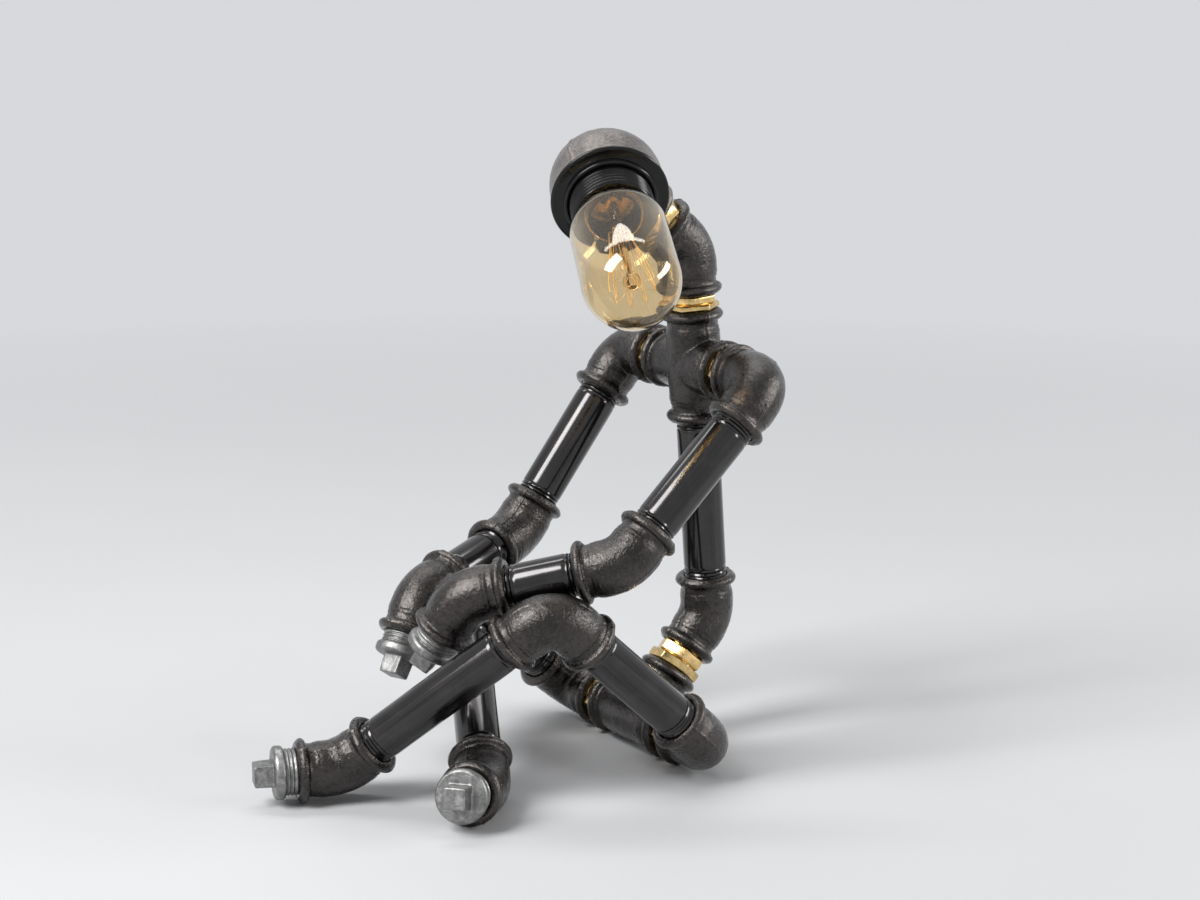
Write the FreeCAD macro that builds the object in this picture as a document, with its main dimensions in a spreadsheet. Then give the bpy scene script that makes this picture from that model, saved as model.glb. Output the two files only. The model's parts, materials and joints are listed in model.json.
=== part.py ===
import FreeCAD, Part
import math
import os

import Sketcher
from FreeCAD import Matrix, Placement, Rotation, Vector

# Desk lamp shaped like a seated figure, screwed together from half-inch malleable iron
# fittings, short steel pipes, brass nipples and zinc plugs, with a screw-base bulb in its head.
# Millimetres. Z is up, the figure faces -Y and its left side is +X.

# Driving dimensions: name in the sheet, value in millimetres or degrees.
DIMENSIONS = [
    ("pipe_od", 21.3),
    ("pipe_bore", 16.0),
    ("thread_grip", 13.0),
    ("thread_clearance", 0.05),
    ("socket_depth", 13.5),
    ("socket_chamfer", 0.8),
    ("body_od", 26.8),
    ("bead_od", 30.6),
    ("bead_width", 5.5),
    ("waterway", 17.0),
    ("elbow_reach", 28.0),
    ("elbow_bend", 14.0),
    ("half_elbow_reach", 22.0),
    ("half_elbow_bend", 20.0),
    ("tee_reach", 28.0),
    ("spine_length", 80.0),
    ("upper_arm_length", 63.0),
    ("forearm_length", 33.0),
    ("left_thigh_length", 64.0),
    ("right_thigh_length", 30.0),
    ("shin_length", 81.0),
    ("edge_break", 0.8),
    ("waist_gap", 12.0),
    ("neck_gap", 8.0),
    ("head_gap", 7.5),
    ("shoulder_gap", 5.6),
    ("hip_gap", 6.4),
    ("face_clearance", 0.15),
    ("nipple_bore", 14.0),
    ("nipple_flats", 22.0),
    ("locknut_flats", 24.0),
    ("waist_locknut_thickness", 5.4),
    ("neck_locknut_thickness", 3.4),
    ("hex_chamfer", 1.0),
    ("plug_neck_od", 22.6),
    ("plug_neck_length", 6.6),
    ("plug_flange_od", 25.6),
    ("plug_flange_thickness", 4.2),
    ("plug_square", 11.0),
    ("plug_square_length", 9.2),
    ("plug_recess_bore", 12.0),
    ("head_reach", 38.0),
    ("mouth_reach", 30.8),
    ("dome_od", 54.0),
    ("dome_centre", 20.5),
    ("head_wall", 3.2),
    ("mouth_bore", 42.0),
    ("crown_length", 22.0),
    ("crown_start", 12.0),
    ("holder_flange_od", 56.0),
    ("holder_flange_thickness", 2.5),
    ("holder_barrel_depth", 16.0),
    ("skirt_od", 39.6),
    ("skirt_bore", 32.0),
    ("skirt_length", 16.5),
    ("skirt_groove", 0.9),
    ("skirt_pitch", 2.5),
    ("skirt_ring_od", 44.6),
    ("skirt_ring_thickness", 3.0),
    ("holder_floor", 3.0),
    ("lead_clearance", 0.3),
    ("core_thickness", 5.0),
    ("shell_bore", 27.2),
    ("shell_wall", 0.5),
    ("shell_length", 22.0),
    ("cap_od", 26.4),
    ("cap_wall", 0.5),
    ("cap_length", 22.0),
    ("glass_wall", 0.9),
    ("glass_od", 45.4),
    ("glass_neck_od", 25.0),
    ("glass_length", 93.0),
    ("glass_shoulder", 13.0),
    ("tip_od", 9.0),
    ("tip_height", 2.0),
    ("stem_od", 4.2),
    ("stem_length", 66.0),
    ("stem_clearance", 0.05),
    ("stem_button_od", 6.4),
    ("wire_od", 0.5),
    ("cage_radius", 8.5),
    ("cage_length", 34.0),
    ("cage_legs", 12.0),
    ("contact_width", 6.0),
    ("contact_thickness", 0.6),
    ("contact_length", 12.0),
    ("contact_rise", 3.0),
    ("inlet_bore", 6.2),
    ("inlet_hole", 8.4),
    ("inlet_seat_od", 12.4),
    ("inlet_seat_depth", 1.4),
    ("grommet_flange_od", 12.0),
    ("grommet_lip", 2.0),
    ("lead_od", 3.0),
    ("lead_bend", 8.0),
    ("branch_lean", 41.0),
    ("head_roll", 56.0),
    ("left_shoulder_drop", 43.7),
    ("right_shoulder_drop", 53.0),
    ("left_elbow_roll", 59.8),
    ("right_elbow_roll", -32.2),
    ("left_hand_roll", 183.0),
    ("right_hand_roll", 175.3),
    ("left_knee_roll", -122.5),
    ("right_knee_roll", -36.2),
    ("left_foot_roll", 17.6),
    ("right_foot_roll", -44.8),
]

# A rolled bead's ridge: share of its width, and share of its height that it has reached there.
BEAD_RIDGE = [(0.2, 0.64), (0.5, 1.0), (0.8, 0.64), (1.0, 0.0)]
HALF_BEND = 45.0
FULL_BEND = 90.0
HALF_TURN = 180.0
SIDE = Vector(1, 0, 0)
BACK = Vector(0, 1, 0)
UP = Vector(0, 0, 1)

doc = FreeCAD.newDocument("pipe_figure_lamp")
sheet = doc.addObject("Spreadsheet::Sheet", "Sizes")
for row, (alias, amount) in enumerate(DIMENSIONS, start=1):
    sheet.set("A%d" % row, alias)
    sheet.set("B%d" % row, str(amount))
    sheet.setAlias("B%d" % row, alias)
doc.recompute()


class Size:
    """A number together with the sheet formula that gives it."""

    def __init__(self, value, text):
        self.value = value
        self.text = text

    def _join(self, sign, other, value):
        return Size(value, "(%s %s %s)" % (self.text, sign, other.text))

    def __add__(self, other):
        other = as_size(other)
        return self._join("+", other, self.value + other.value)

    def __sub__(self, other):
        other = as_size(other)
        return self._join("-", other, self.value - other.value)

    def __mul__(self, other):
        other = as_size(other)
        return self._join("*", other, self.value * other.value)

    def __truediv__(self, other):
        other = as_size(other)
        return self._join("/", other, self.value / other.value)

    def __neg__(self):
        return Size(-self.value, "(-1 * %s)" % self.text)


def as_size(number):
    """A plain number as a Size."""
    if isinstance(number, Size):
        return number
    return Size(float(number), "%.9f" % number)


def cell(alias):
    """The Size of one named cell."""
    return Size(float(sheet.get(alias)), "Sizes.%s" % alias)


def amount_of(alias):
    """The plain number of one named cell."""
    return float(sheet.get(alias))


pipe_radius = cell("pipe_od") / 2
socket_radius = pipe_radius + cell("thread_clearance")
body_radius = cell("body_od") / 2
bead_height = (cell("bead_od") - cell("body_od")) / 2
skirt_radius = cell("skirt_od") / 2
lead_hole_radius = cell("lead_od") / 2 + cell("lead_clearance")
holder_face = cell("mouth_reach") + cell("holder_flange_thickness")
barrel_end = cell("mouth_reach") - cell("holder_barrel_depth")
shell_start = barrel_end + cell("holder_floor") + cell("core_thickness")
cap_start = shell_start + cell("contact_rise") + cell("tip_height")
cap_end = cap_start + cell("cap_length")


# Bodies, sketches and features.

def new_body(name):
    """A part body whose label is the name of the piece."""
    body = doc.addObject("PartDesign::Body", name)
    body.Label = name
    return body


def new_sketch(body, name, plane, turn=0.0, shift=(0, 0, 0)):
    """A sketch on one of the body's own planes, turned in that plane and shifted."""
    sketch = body.newObject("Sketcher::SketchObject", body.Name + "_" + name)
    support = [f for f in body.Origin.OriginFeatures if f.Role == plane][0]
    sketch.AttachmentSupport = [(support, "")]
    sketch.MapMode = "FlatFace"
    base = [as_size(part) for part in shift]
    sketch.AttachmentOffset = Placement(Vector(*[part.value for part in base]), Rotation(UP, turn))
    for axis, part in zip("xyz", base):
        if part.text.startswith("Sizes") or part.text.startswith("("):
            sketch.setExpression("AttachmentOffset.Base.%s" % axis, part.text)
    return sketch


def pin_point(sketch, edge, end, corner, label):
    """Fix one end of an edge at a corner that is given in sheet sizes."""
    for axis, part in zip("XY", corner):
        if part.value == 0:
            line = -2 if axis == "X" else -1
            sketch.addConstraint(Sketcher.Constraint("PointOnObject", edge, end, line))
            continue
        rule = Sketcher.Constraint("Distance" + axis, -1, 1, edge, end, part.value)
        index = sketch.addConstraint(rule)
        sketch.renameConstraint(index, "%s_%s" % (label, axis.lower()))
        sketch.setExpression("Constraints.%s_%s" % (label, axis.lower()), part.text)


def arc_centre(start, stop, radius, turn_side):
    """Centre of the arc from start to stop, on the left (+1) or right (-1) of the way."""
    chord = stop - start
    middle = (start + stop) * 0.5
    across = Vector(-chord.y, chord.x, 0).normalize()
    height = math.sqrt(max(radius * radius - chord.Length * chord.Length / 4, 0))
    return middle + across * (height * turn_side)


def draw_outline(sketch, corners, arcs=None):
    """Closed outline through corners. arcs maps a corner's index to (radius, side) of its edge."""
    arcs = arcs or {}
    corners = [(as_size(x), as_size(y)) for x, y in corners]
    points = [Vector(x.value, y.value, 0) for x, y in corners]
    count = len(points)
    starts = []
    for i in range(count):
        here, following = points[i], points[(i + 1) % count]
        if i not in arcs:
            sketch.addGeometry(Part.LineSegment(here, following), False)
            starts.append((1, 2))
            continue
        radius, side = as_size(arcs[i][0]), arcs[i][1]
        centre = arc_centre(here, following, radius.value, side)
        first, last = (here, following) if side > 0 else (following, here)
        begin = math.atan2(first.y - centre.y, first.x - centre.x)
        finish = math.atan2(last.y - centre.y, last.x - centre.x)
        circle = Part.Circle(centre, UP, radius.value)
        sketch.addGeometry(Part.ArcOfCircle(circle, begin, finish), False)
        starts.append((1, 2) if side > 0 else (2, 1))
        index = sketch.addConstraint(Sketcher.Constraint("Radius", i, radius.value))
        sketch.renameConstraint(index, "arc_%d" % i)
        sketch.setExpression("Constraints.arc_%d" % i, radius.text)
    for i in range(count):
        following = (i + 1) % count
        rule = Sketcher.Constraint("Coincident", i, starts[i][1], following, starts[following][0])
        sketch.addConstraint(rule)
        pin_point(sketch, i, starts[i][0], corners[i], "corner_%d" % i)
    return sketch


def draw_circle(sketch, centre, radius):
    """A circle whose centre and radius follow the sheet."""
    centre = (as_size(centre[0]), as_size(centre[1]))
    middle = Vector(centre[0].value, centre[1].value, 0)
    index = sketch.addGeometry(Part.Circle(middle, UP, radius.value), False)
    pin_point(sketch, index, 3, centre, "centre_%d" % index)
    rule = sketch.addConstraint(Sketcher.Constraint("Radius", index, radius.value))
    sketch.renameConstraint(rule, "radius_%d" % index)
    sketch.setExpression("Constraints.radius_%d" % index, radius.text)
    return sketch


def turned(body, sketch, cut=False, angle=360.0, axis="V_Axis"):
    """Revolve a sketch about one of its axes, adding to the body or cutting it."""
    kind = "PartDesign::Groove" if cut else "PartDesign::Revolution"
    feature = body.newObject(kind, sketch.Name + ("_cut" if cut else "_turn"))
    feature.Profile = sketch
    feature.ReferenceAxis = (sketch, [axis])
    feature.Angle = angle
    return feature


def padded(body, sketch, length, midplane=False, reverse=False):
    """Pad a sketch by a sheet length."""
    pad = body.newObject("PartDesign::Pad", sketch.Name + "_pad")
    pad.Profile = sketch
    pad.Midplane = midplane
    pad.Reversed = reverse
    pad.Length = length.value
    pad.setExpression("Length", length.text)
    return pad


# Malleable iron fittings. Each is modelled about the crossing of its port axes.

def bead_corners(reach):
    """Outline of a rolled bead, from its foot on the body to the port's face."""
    foot = reach - cell("bead_width")
    ridge = [(body_radius + bead_height * rise, foot + cell("bead_width") * share) for share, rise in BEAD_RIDGE]
    return [(body_radius, foot)] + ridge


def port_outside(body, name, turn, start, reach):
    """Round stub with a rolled bead at its mouth, from start to reach along the port axis."""
    sketch = new_sketch(body, name, "XZ_Plane", turn)
    draw_outline(sketch, [(0, start), (body_radius, start)] + bead_corners(reach) + [(0, reach)])
    turned(body, sketch)


def port_inside(body, name, turn, start, reach):
    """Threaded socket with a chamfered mouth and the waterway behind it."""
    way = cell("waterway") / 2
    bottom = reach - cell("socket_depth")
    bevel = cell("socket_chamfer")
    sketch = new_sketch(body, name, "XZ_Plane", turn)
    corners = [(0, start), (way, start), (way, bottom), (socket_radius, bottom),
               (socket_radius, reach - bevel), (socket_radius + bevel, reach), (0, reach)]
    draw_outline(sketch, corners)
    turned(body, sketch, cut=True)


def cast_elbow(name, angle, bend, reach):
    """Elbow: it is entered along +Z and left toward +X at the given angle."""
    body = new_body(name)
    start = bend * math.tan(math.radians(angle) / 2)
    tube = new_sketch(body, "bend", "XY_Plane", 0, (bend, 0, -start))
    draw_circle(tube, (-bend, 0), body_radius)
    turned(body, tube, angle=angle)
    port_outside(body, "entry", HALF_TURN, start, reach)
    port_outside(body, "exit", -angle, start, reach)
    bore = new_sketch(body, "bend_bore", "XY_Plane", 0, (bend, 0, -start))
    draw_circle(bore, (-bend, 0), cell("waterway") / 2)
    turned(body, bore, cut=True, angle=angle)
    port_inside(body, "entry_socket", HALF_TURN, start, reach)
    port_inside(body, "exit_socket", -angle, start, reach)
    return body


def full_elbow(name):
    """Elbow of ninety degrees."""
    return cast_elbow(name, FULL_BEND, cell("elbow_bend"), cell("elbow_reach"))


def half_elbow(name):
    """Elbow of forty-five degrees."""
    return cast_elbow(name, HALF_BEND, cell("half_elbow_bend"), cell("half_elbow_reach"))


def cast_branches(name, turns):
    """Tee or cross: straight ports at the given turns about one centre."""
    body = new_body(name)
    reach = cell("tee_reach")
    for number, turn in enumerate(turns):
        port_outside(body, "port_%d" % number, turn, as_size(0), reach)
    for number, turn in enumerate(turns):
        port_inside(body, "socket_%d" % number, turn, as_size(0), reach)
    return body


def pelvis_tee():
    """Tee with its branch up and a spot-faced inlet hole for the cord at its back."""
    body = cast_branches("pelvis_tee", (0.0, 90.0, -90.0))
    seat = body_radius - cell("inlet_seat_depth")
    outside = cell("bead_od") / 2
    sketch = new_sketch(body, "inlet", "XY_Plane")
    corners = [(0, 0), (cell("inlet_hole") / 2, 0), (cell("inlet_hole") / 2, seat),
               (cell("inlet_seat_od") / 2, seat), (cell("inlet_seat_od") / 2, outside), (0, outside)]
    draw_outline(sketch, corners)
    turned(body, sketch, cut=True)
    return body


def cable_grommet():
    """Flanged bush that lines the inlet hole. Its axis is Y."""
    body = new_body("cable_grommet")
    seat = body_radius - cell("inlet_seat_depth")
    sleeve = cell("inlet_hole") / 2 - cell("thread_clearance")
    hole = cell("inlet_bore") / 2
    inner_end = cell("waterway") / 2 - cell("grommet_lip") / 2
    sketch = new_sketch(body, "section", "XY_Plane")
    corners = [(hole, inner_end), (sleeve, inner_end), (sleeve, seat),
               (cell("grommet_flange_od") / 2, seat), (cell("grommet_flange_od") / 2, seat + cell("grommet_lip")),
               (hole, seat + cell("grommet_lip"))]
    draw_outline(sketch, corners)
    turned(body, sketch)
    return body


def head_elbow():
    """Reducing elbow: small port toward -X, domed bell with its wide mouth toward +Z."""
    body = new_body("head_elbow")
    mouth = cell("mouth_reach")
    dome = cell("dome_od") / 2
    middle = cell("dome_centre")
    bell = new_sketch(body, "bell", "XZ_Plane")
    draw_outline(bell, [(0, middle - dome), (dome, middle), (dome, mouth), (0, mouth)], {0: (dome, 1)})
    turned(body, bell)
    neck = new_sketch(body, "neck", "XZ_Plane", 90.0)
    reach = cell("head_reach")
    nose = cell("crown_length") - cell("crown_start")
    crown_arc = (body_radius * body_radius + cell("crown_length") * cell("crown_length")) / (body_radius * 2)
    corners = [(0, -nose), (body_radius, cell("crown_start"))] + bead_corners(reach) + [(0, reach)]
    draw_outline(neck, corners, {0: (crown_arc, 1)})
    turned(body, neck)
    wall = cell("head_wall")
    hollow = new_sketch(body, "hollow", "XZ_Plane")
    inner = dome - wall
    seat = cell("mouth_bore") / 2
    lip = mouth - cell("holder_barrel_depth") / 2
    corners = [(0, middle - inner), (inner, middle), (seat, lip), (seat, mouth), (0, mouth)]
    draw_outline(hollow, corners, {0: (inner, 1)})
    turned(body, hollow, cut=True)
    port_inside(body, "neck_socket", 90.0, as_size(0), reach)
    return body


# Pipes, nipples, nuts and plugs. Their axis is Z.

def steel_pipe(name, length):
    """Pipe of the given visible length with a threaded end inside each fitting."""
    body = new_body(name)
    half = length / 2 + cell("thread_grip")
    bevel = cell("edge_break")
    bore = cell("pipe_bore") / 2
    sketch = new_sketch(body, "section", "XZ_Plane")
    corners = [(bore, -half), (pipe_radius - bevel, -half), (pipe_radius, bevel - half),
               (pipe_radius, half - bevel), (pipe_radius - bevel, half), (bore, half)]
    draw_outline(sketch, corners)
    turned(body, sketch)
    return body


def hexagon(body, name, flats, height):
    """Hexagonal outline across the given flats, lying at a height on the axis."""
    corner = flats / math.sqrt(3)
    sketch = new_sketch(body, name, "XY_Plane", 0, (0, 0, height))
    points = []
    for step in range(6):
        turn = math.radians(60 * step)
        across = 0 if step in (0, 3) else corner * math.sin(turn)
        points.append((corner * math.cos(turn), across))
    return draw_outline(sketch, points)


def break_hex_corners(body, name, flats, low, high):
    """Chamfer a hexagon's corners at its two faces, as nuts are turned."""
    corner = flats / math.sqrt(3)
    bevel = cell("hex_chamfer")
    inside = flats / 2 + bevel * 0.1
    for label, edge, inward in (("low", low, 1), ("high", high, -1)):
        sketch = new_sketch(body, name + "_" + label, "XZ_Plane")
        corners = [(inside, edge), (corner + bevel, edge), (corner + bevel, edge + bevel * 1.2 * inward)]
        draw_outline(sketch, corners)
        turned(body, sketch, cut=True)


def hex_nipple(name, gap, nut_thickness=None):
    """Brass nipple: a threaded spigot each way and a hexagon that fills the gap beside any nut."""
    body = new_body(name)
    clearance = cell("face_clearance")
    low = -gap / 2 + clearance
    high = gap / 2 - clearance
    if nut_thickness is not None:
        low = low + nut_thickness
    padded(body, hexagon(body, "hexagon", cell("nipple_flats"), low), high - low)
    break_hex_corners(body, "bevel", cell("nipple_flats"), low, high)
    half = gap / 2 + cell("thread_grip")
    bevel = cell("edge_break")
    spigot = new_sketch(body, "spigot", "XZ_Plane")
    corners = [(0, -half), (pipe_radius - bevel, -half), (pipe_radius, bevel - half),
               (pipe_radius, half - bevel), (pipe_radius - bevel, half), (0, half)]
    draw_outline(spigot, corners)
    turned(body, spigot)
    bore = new_sketch(body, "bore", "XZ_Plane")
    hole = cell("nipple_bore") / 2
    draw_outline(bore, [(0, -half), (hole, -half), (hole, half), (0, half)])
    turned(body, bore, cut=True)
    return body


def locknut(name, gap, thickness):
    """Brass locknut that lies on the nipple's lower spigot, under its hexagon."""
    body = new_body(name)
    low = -gap / 2 + cell("face_clearance")
    high = low + thickness - cell("face_clearance")
    padded(body, hexagon(body, "hexagon", cell("locknut_flats"), low), high - low)
    break_hex_corners(body, "bevel", cell("locknut_flats"), low, high)
    bore = new_sketch(body, "bore", "XZ_Plane")
    draw_outline(bore, [(0, low), (socket_radius, low), (socket_radius, high), (0, high)])
    turned(body, bore, cut=True)
    return body


def end_plug(name):
    """Beaded plug with a square head. Z = 0 is the face of the fitting, the thread goes to -Z."""
    body = new_body(name)
    grip = cell("thread_grip")
    bevel = cell("edge_break")
    neck = cell("plug_neck_od") / 2
    flange = cell("plug_flange_od") / 2
    low = cell("plug_neck_length")
    high = low + cell("plug_flange_thickness")
    start = cell("face_clearance")
    sketch = new_sketch(body, "section", "XZ_Plane")
    corners = [(0, -grip), (pipe_radius - bevel, -grip), (pipe_radius, bevel - grip), (pipe_radius, start),
               (neck, start), (neck, low), (flange - bevel, low), (flange, low + bevel),
               (flange, high - bevel), (flange - bevel, high), (0, high)]
    draw_outline(sketch, corners)
    turned(body, sketch)
    half = cell("plug_square") / 2
    square = new_sketch(body, "square", "XY_Plane", 0, (0, 0, high))
    draw_outline(square, [(-half, -half), (half, -half), (half, half), (-half, half)])
    padded(body, square, cell("plug_square_length"))
    recess = new_sketch(body, "recess", "XZ_Plane")
    hole = cell("plug_recess_bore") / 2
    draw_outline(recess, [(0, -grip), (hole, -grip), (hole, 0), (0, 0)])
    turned(body, recess, cut=True)
    return body


# Lamp holder and bulb. Z is the mouth axis of the head, measured from the head's centre.

def lamp_holder():
    """Moulded holder: barrel in the head's mouth, wide flange on its face, ribbed skirt outside."""
    body = new_body("lamp_holder")
    barrel = cell("mouth_bore") / 2 - cell("thread_clearance")
    flange = cell("holder_flange_od") / 2
    mouth = cell("mouth_reach") + cell("thread_clearance")
    skirt_end = holder_face + cell("skirt_length")
    round_edge = cell("edge_break")
    sketch = new_sketch(body, "section", "XZ_Plane")
    corners = [(0, barrel_end), (barrel, barrel_end), (barrel, mouth), (flange, mouth),
               (flange, holder_face - round_edge), (flange - round_edge, holder_face),
               (skirt_radius, holder_face), (skirt_radius, skirt_end), (0, skirt_end)]
    draw_outline(sketch, corners)
    turned(body, sketch)
    bore = cell("skirt_bore") / 2
    floor = barrel_end + cell("holder_floor")
    inside = new_sketch(body, "inside", "XZ_Plane")
    corners = [(0, barrel_end), (lead_hole_radius, barrel_end), (lead_hole_radius, floor), (bore, floor),
               (bore, skirt_end), (0, skirt_end)]
    draw_outline(inside, corners)
    turned(body, inside, cut=True)
    rib = new_sketch(body, "thread", "XZ_Plane")
    depth = cell("skirt_groove")
    first = holder_face + cell("skirt_ring_thickness") + cell("skirt_pitch") / 2
    corners = [(skirt_radius - depth, first), (skirt_radius + depth, first - depth * 1.4),
               (skirt_radius + depth, first + depth * 1.4)]
    draw_outline(rib, corners)
    groove = turned(body, rib, cut=True)
    pattern = body.newObject("PartDesign::LinearPattern", "lamp_holder_ribs")
    pattern.Originals = [groove]
    pattern.Direction = (rib, ["V_Axis"])
    pattern.Length = cell("skirt_pitch").value * 4
    pattern.setExpression("Length", (cell("skirt_pitch") * 4).text)
    pattern.Occurrences = 5
    body.Tip = pattern
    return body


def ring_piece(name, inner, outer, low, high, bevel=None):
    """Plain ring about Z, with its outer edges broken where a bevel is given."""
    body = new_body(name)
    sketch = new_sketch(body, "section", "XZ_Plane")
    if bevel is None:
        corners = [(inner, low), (outer, low), (outer, high), (inner, high)]
    else:
        corners = [(inner, low), (outer - bevel, low), (outer, low + bevel), (outer, high - bevel),
                   (outer - bevel, high), (inner, high)]
    draw_outline(sketch, corners)
    turned(body, sketch)
    return body


def skirt_ring():
    """Screw ring on the holder's skirt, against the flange."""
    low = holder_face + cell("face_clearance")
    return ring_piece("skirt_ring", skirt_radius + cell("thread_clearance"), cell("skirt_ring_od") / 2,
                      low, low + cell("skirt_ring_thickness"), cell("edge_break"))


def holder_core():
    """Ceramic disc on the holder's floor, with the screw shell standing on it."""
    floor = barrel_end + cell("holder_floor")
    return ring_piece("holder_core", lead_hole_radius, cell("skirt_bore") / 2 - cell("thread_clearance"),
                      floor, floor + cell("core_thickness"))


def screw_shell():
    """Thin brass shell that the bulb's cap screws into."""
    inner = cell("shell_bore") / 2
    return ring_piece("screw_shell", inner, inner + cell("shell_wall"), shell_start,
                      shell_start + cell("shell_length"))


def centre_contact():
    """Sprung brass tongue on the core under the bulb's tip."""
    body = new_body("centre_contact")
    thickness = cell("contact_thickness")
    reach = cell("contact_length") / 2
    rise = cell("contact_rise")
    side = new_sketch(body, "side", "XZ_Plane", 0, (0, 0, 0))
    corners = [(-reach, shell_start), (reach / 3, shell_start), (reach / 3, shell_start + thickness),
               (-reach + thickness * 2, shell_start + thickness), (reach / 2, shell_start + rise - thickness),
               (reach / 2, shell_start + rise), (-reach, shell_start + thickness)]
    draw_outline(side, corners)
    padded(body, side, cell("contact_width"), midplane=True)
    return body


def bulb_cap():
    """Brass screw cap of the bulb: a thin cup round the neck of the glass."""
    body = new_body("bulb_cap")
    outer = cell("cap_od") / 2
    inner = outer - cell("cap_wall")
    tip = cell("tip_od") / 2
    sketch = new_sketch(body, "section", "XZ_Plane")
    bottom = cap_start + cell("cap_wall")
    slope = cell("tip_height") * 2
    corners = [(tip + cell("cap_wall"), cap_start), (outer, cap_start + slope), (outer, cap_end), (inner, cap_end),
               (inner, cap_start + slope), (tip + cell("cap_wall"), bottom + cell("cap_wall"))]
    draw_outline(sketch, corners)
    turned(body, sketch)
    return body


def bulb_base():
    """Black glass button that insulates the bulb's tip from its cap."""
    low = cap_start - cell("tip_height") / 2
    return ring_piece("bulb_base", cell("stem_od") / 2, cell("tip_od") / 2 + cell("cap_wall") / 2,
                      low, low + cell("tip_height") * 2)


def bulb_tip():
    """Solder contact under the bulb."""
    body = new_body("bulb_tip")
    low = cap_start - cell("tip_height")
    high = cap_start - cell("tip_height") / 2
    radius = cell("tip_od") / 2 - cell("cap_wall")
    sketch = new_sketch(body, "section", "XZ_Plane")
    draw_outline(sketch, [(0, low), (radius * 0.6, low), (radius, high), (0, high)])
    turned(body, sketch)
    return body


def bulb_glass():
    """Long round-ended bulb: neck, shoulder, straight side and hemispherical end, with a thin wall."""
    body = new_body("bulb_glass")
    wall = cell("glass_wall")
    neck_low = cap_start + cell("tip_height") * 2 + cell("cap_wall")
    neck_top = neck_low + cell("cap_length") - cell("tip_height") * 2
    shoulder = neck_top + cell("glass_shoulder")
    outer = cell("glass_od") / 2
    neck = cell("glass_neck_od") / 2
    end = neck_low + cell("glass_length")
    sketch = new_sketch(body, "outside", "XZ_Plane")
    rise = outer - neck
    flare = (cell("glass_shoulder") * cell("glass_shoulder") + rise * rise) / (rise * 2)
    corners = [(0, neck_low), (neck, neck_low), (neck, neck_top), (outer, shoulder), (outer, end - outer), (0, end)]
    draw_outline(sketch, corners, {2: (flare, 1), 4: (outer, 1)})
    turned(body, sketch)
    cavity = new_sketch(body, "cavity", "XZ_Plane")
    corners = [(0, neck_low), (neck - wall, neck_low), (neck - wall, neck_top), (outer - wall, shoulder),
               (outer - wall, end - outer), (0, end - wall)]
    draw_outline(cavity, corners, {2: (flare + wall, 1), 4: (outer - wall, 1)})
    turned(body, cavity, cut=True)
    return body


def stem_start():
    """Height on the mouth axis at which the bulb's glass stem begins."""
    return cap_start + cell("tip_height") * 2 + cell("cap_wall") * 2


def bulb_stem():
    """Glass stem inside the bulb: flare sealed in the neck, rod and button."""
    body = new_body("bulb_stem")
    low = stem_start()
    rod = cell("stem_od") / 2
    flare = cell("glass_neck_od") / 2 - cell("glass_wall") - cell("stem_clearance")
    top = low + cell("stem_length")
    button = cell("stem_button_od") / 2
    sketch = new_sketch(body, "section", "XZ_Plane")
    corners = [(0, low), (flare, low), (flare, low + rod), (rod, low + cell("glass_shoulder")),
               (rod, top), (button, top + button * 0.6), (button, top + button), (0, top + button)]
    draw_outline(sketch, corners)
    turned(body, sketch)
    return body


def rod_between(start, stop, radius):
    """Round rod from one point to another."""
    way = stop - start
    return Part.makeCylinder(radius, way.Length, start, way)


def coded_part(name, shape):
    """A piece whose shape is worked out from the sheet in code."""
    feature = doc.addObject("Part::Feature", name)
    feature.Label = name
    feature.Shape = shape
    return feature


def bulb_filament():
    """Cage filament: a hairpin zigzag of fine wire round the stem, from hook to hook."""
    legs = int(amount_of("cage_legs"))
    top_radius = amount_of("cage_radius") * 0.55
    wire = amount_of("wire_od") / 2
    low = stem_start().value + amount_of("stem_length") - amount_of("cage_length")
    high = low + amount_of("cage_length")
    corners = []
    for leg in range(legs):
        turn = math.radians(330.0 * leg / (legs - 1))
        radius = amount_of("cage_radius") if leg % 2 else top_radius
        height = high if leg % 2 else low
        corners.append(Vector(radius * math.cos(turn), radius * math.sin(turn), height))
    pieces = [rod_between(a, b, wire) for a, b in zip(corners, corners[1:])]
    pieces += [Part.makeSphere(wire * 1.02, corner) for corner in corners]
    return coded_part("bulb_filament", pieces[0].multiFuse(pieces[1:]).removeSplitter())


def filament_hooks():
    """Fine support wires from the stem out to the filament's corners."""
    legs = int(amount_of("cage_legs"))
    wire = amount_of("wire_od") / 2
    stem = amount_of("stem_od") / 2
    low = stem_start().value + amount_of("stem_length") - amount_of("cage_length")
    high = low + amount_of("cage_length")
    solids = []
    for leg in range(legs):
        turn = math.radians(330.0 * leg / (legs - 1))
        outward = Vector(math.cos(turn), math.sin(turn), 0)
        far = amount_of("cage_radius") if leg % 2 else amount_of("cage_radius") * 0.55
        height = high if leg % 2 else low
        start = outward * (stem + wire * 0.1) + UP * height
        solids.append(rod_between(start, outward * (far - wire * 2.2) + UP * height, wire))
    return coded_part("filament_hooks", Part.Compound(solids))


# Inner leads: one insulated pair that runs on the axes of the fittings, split at the turning joints.

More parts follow.
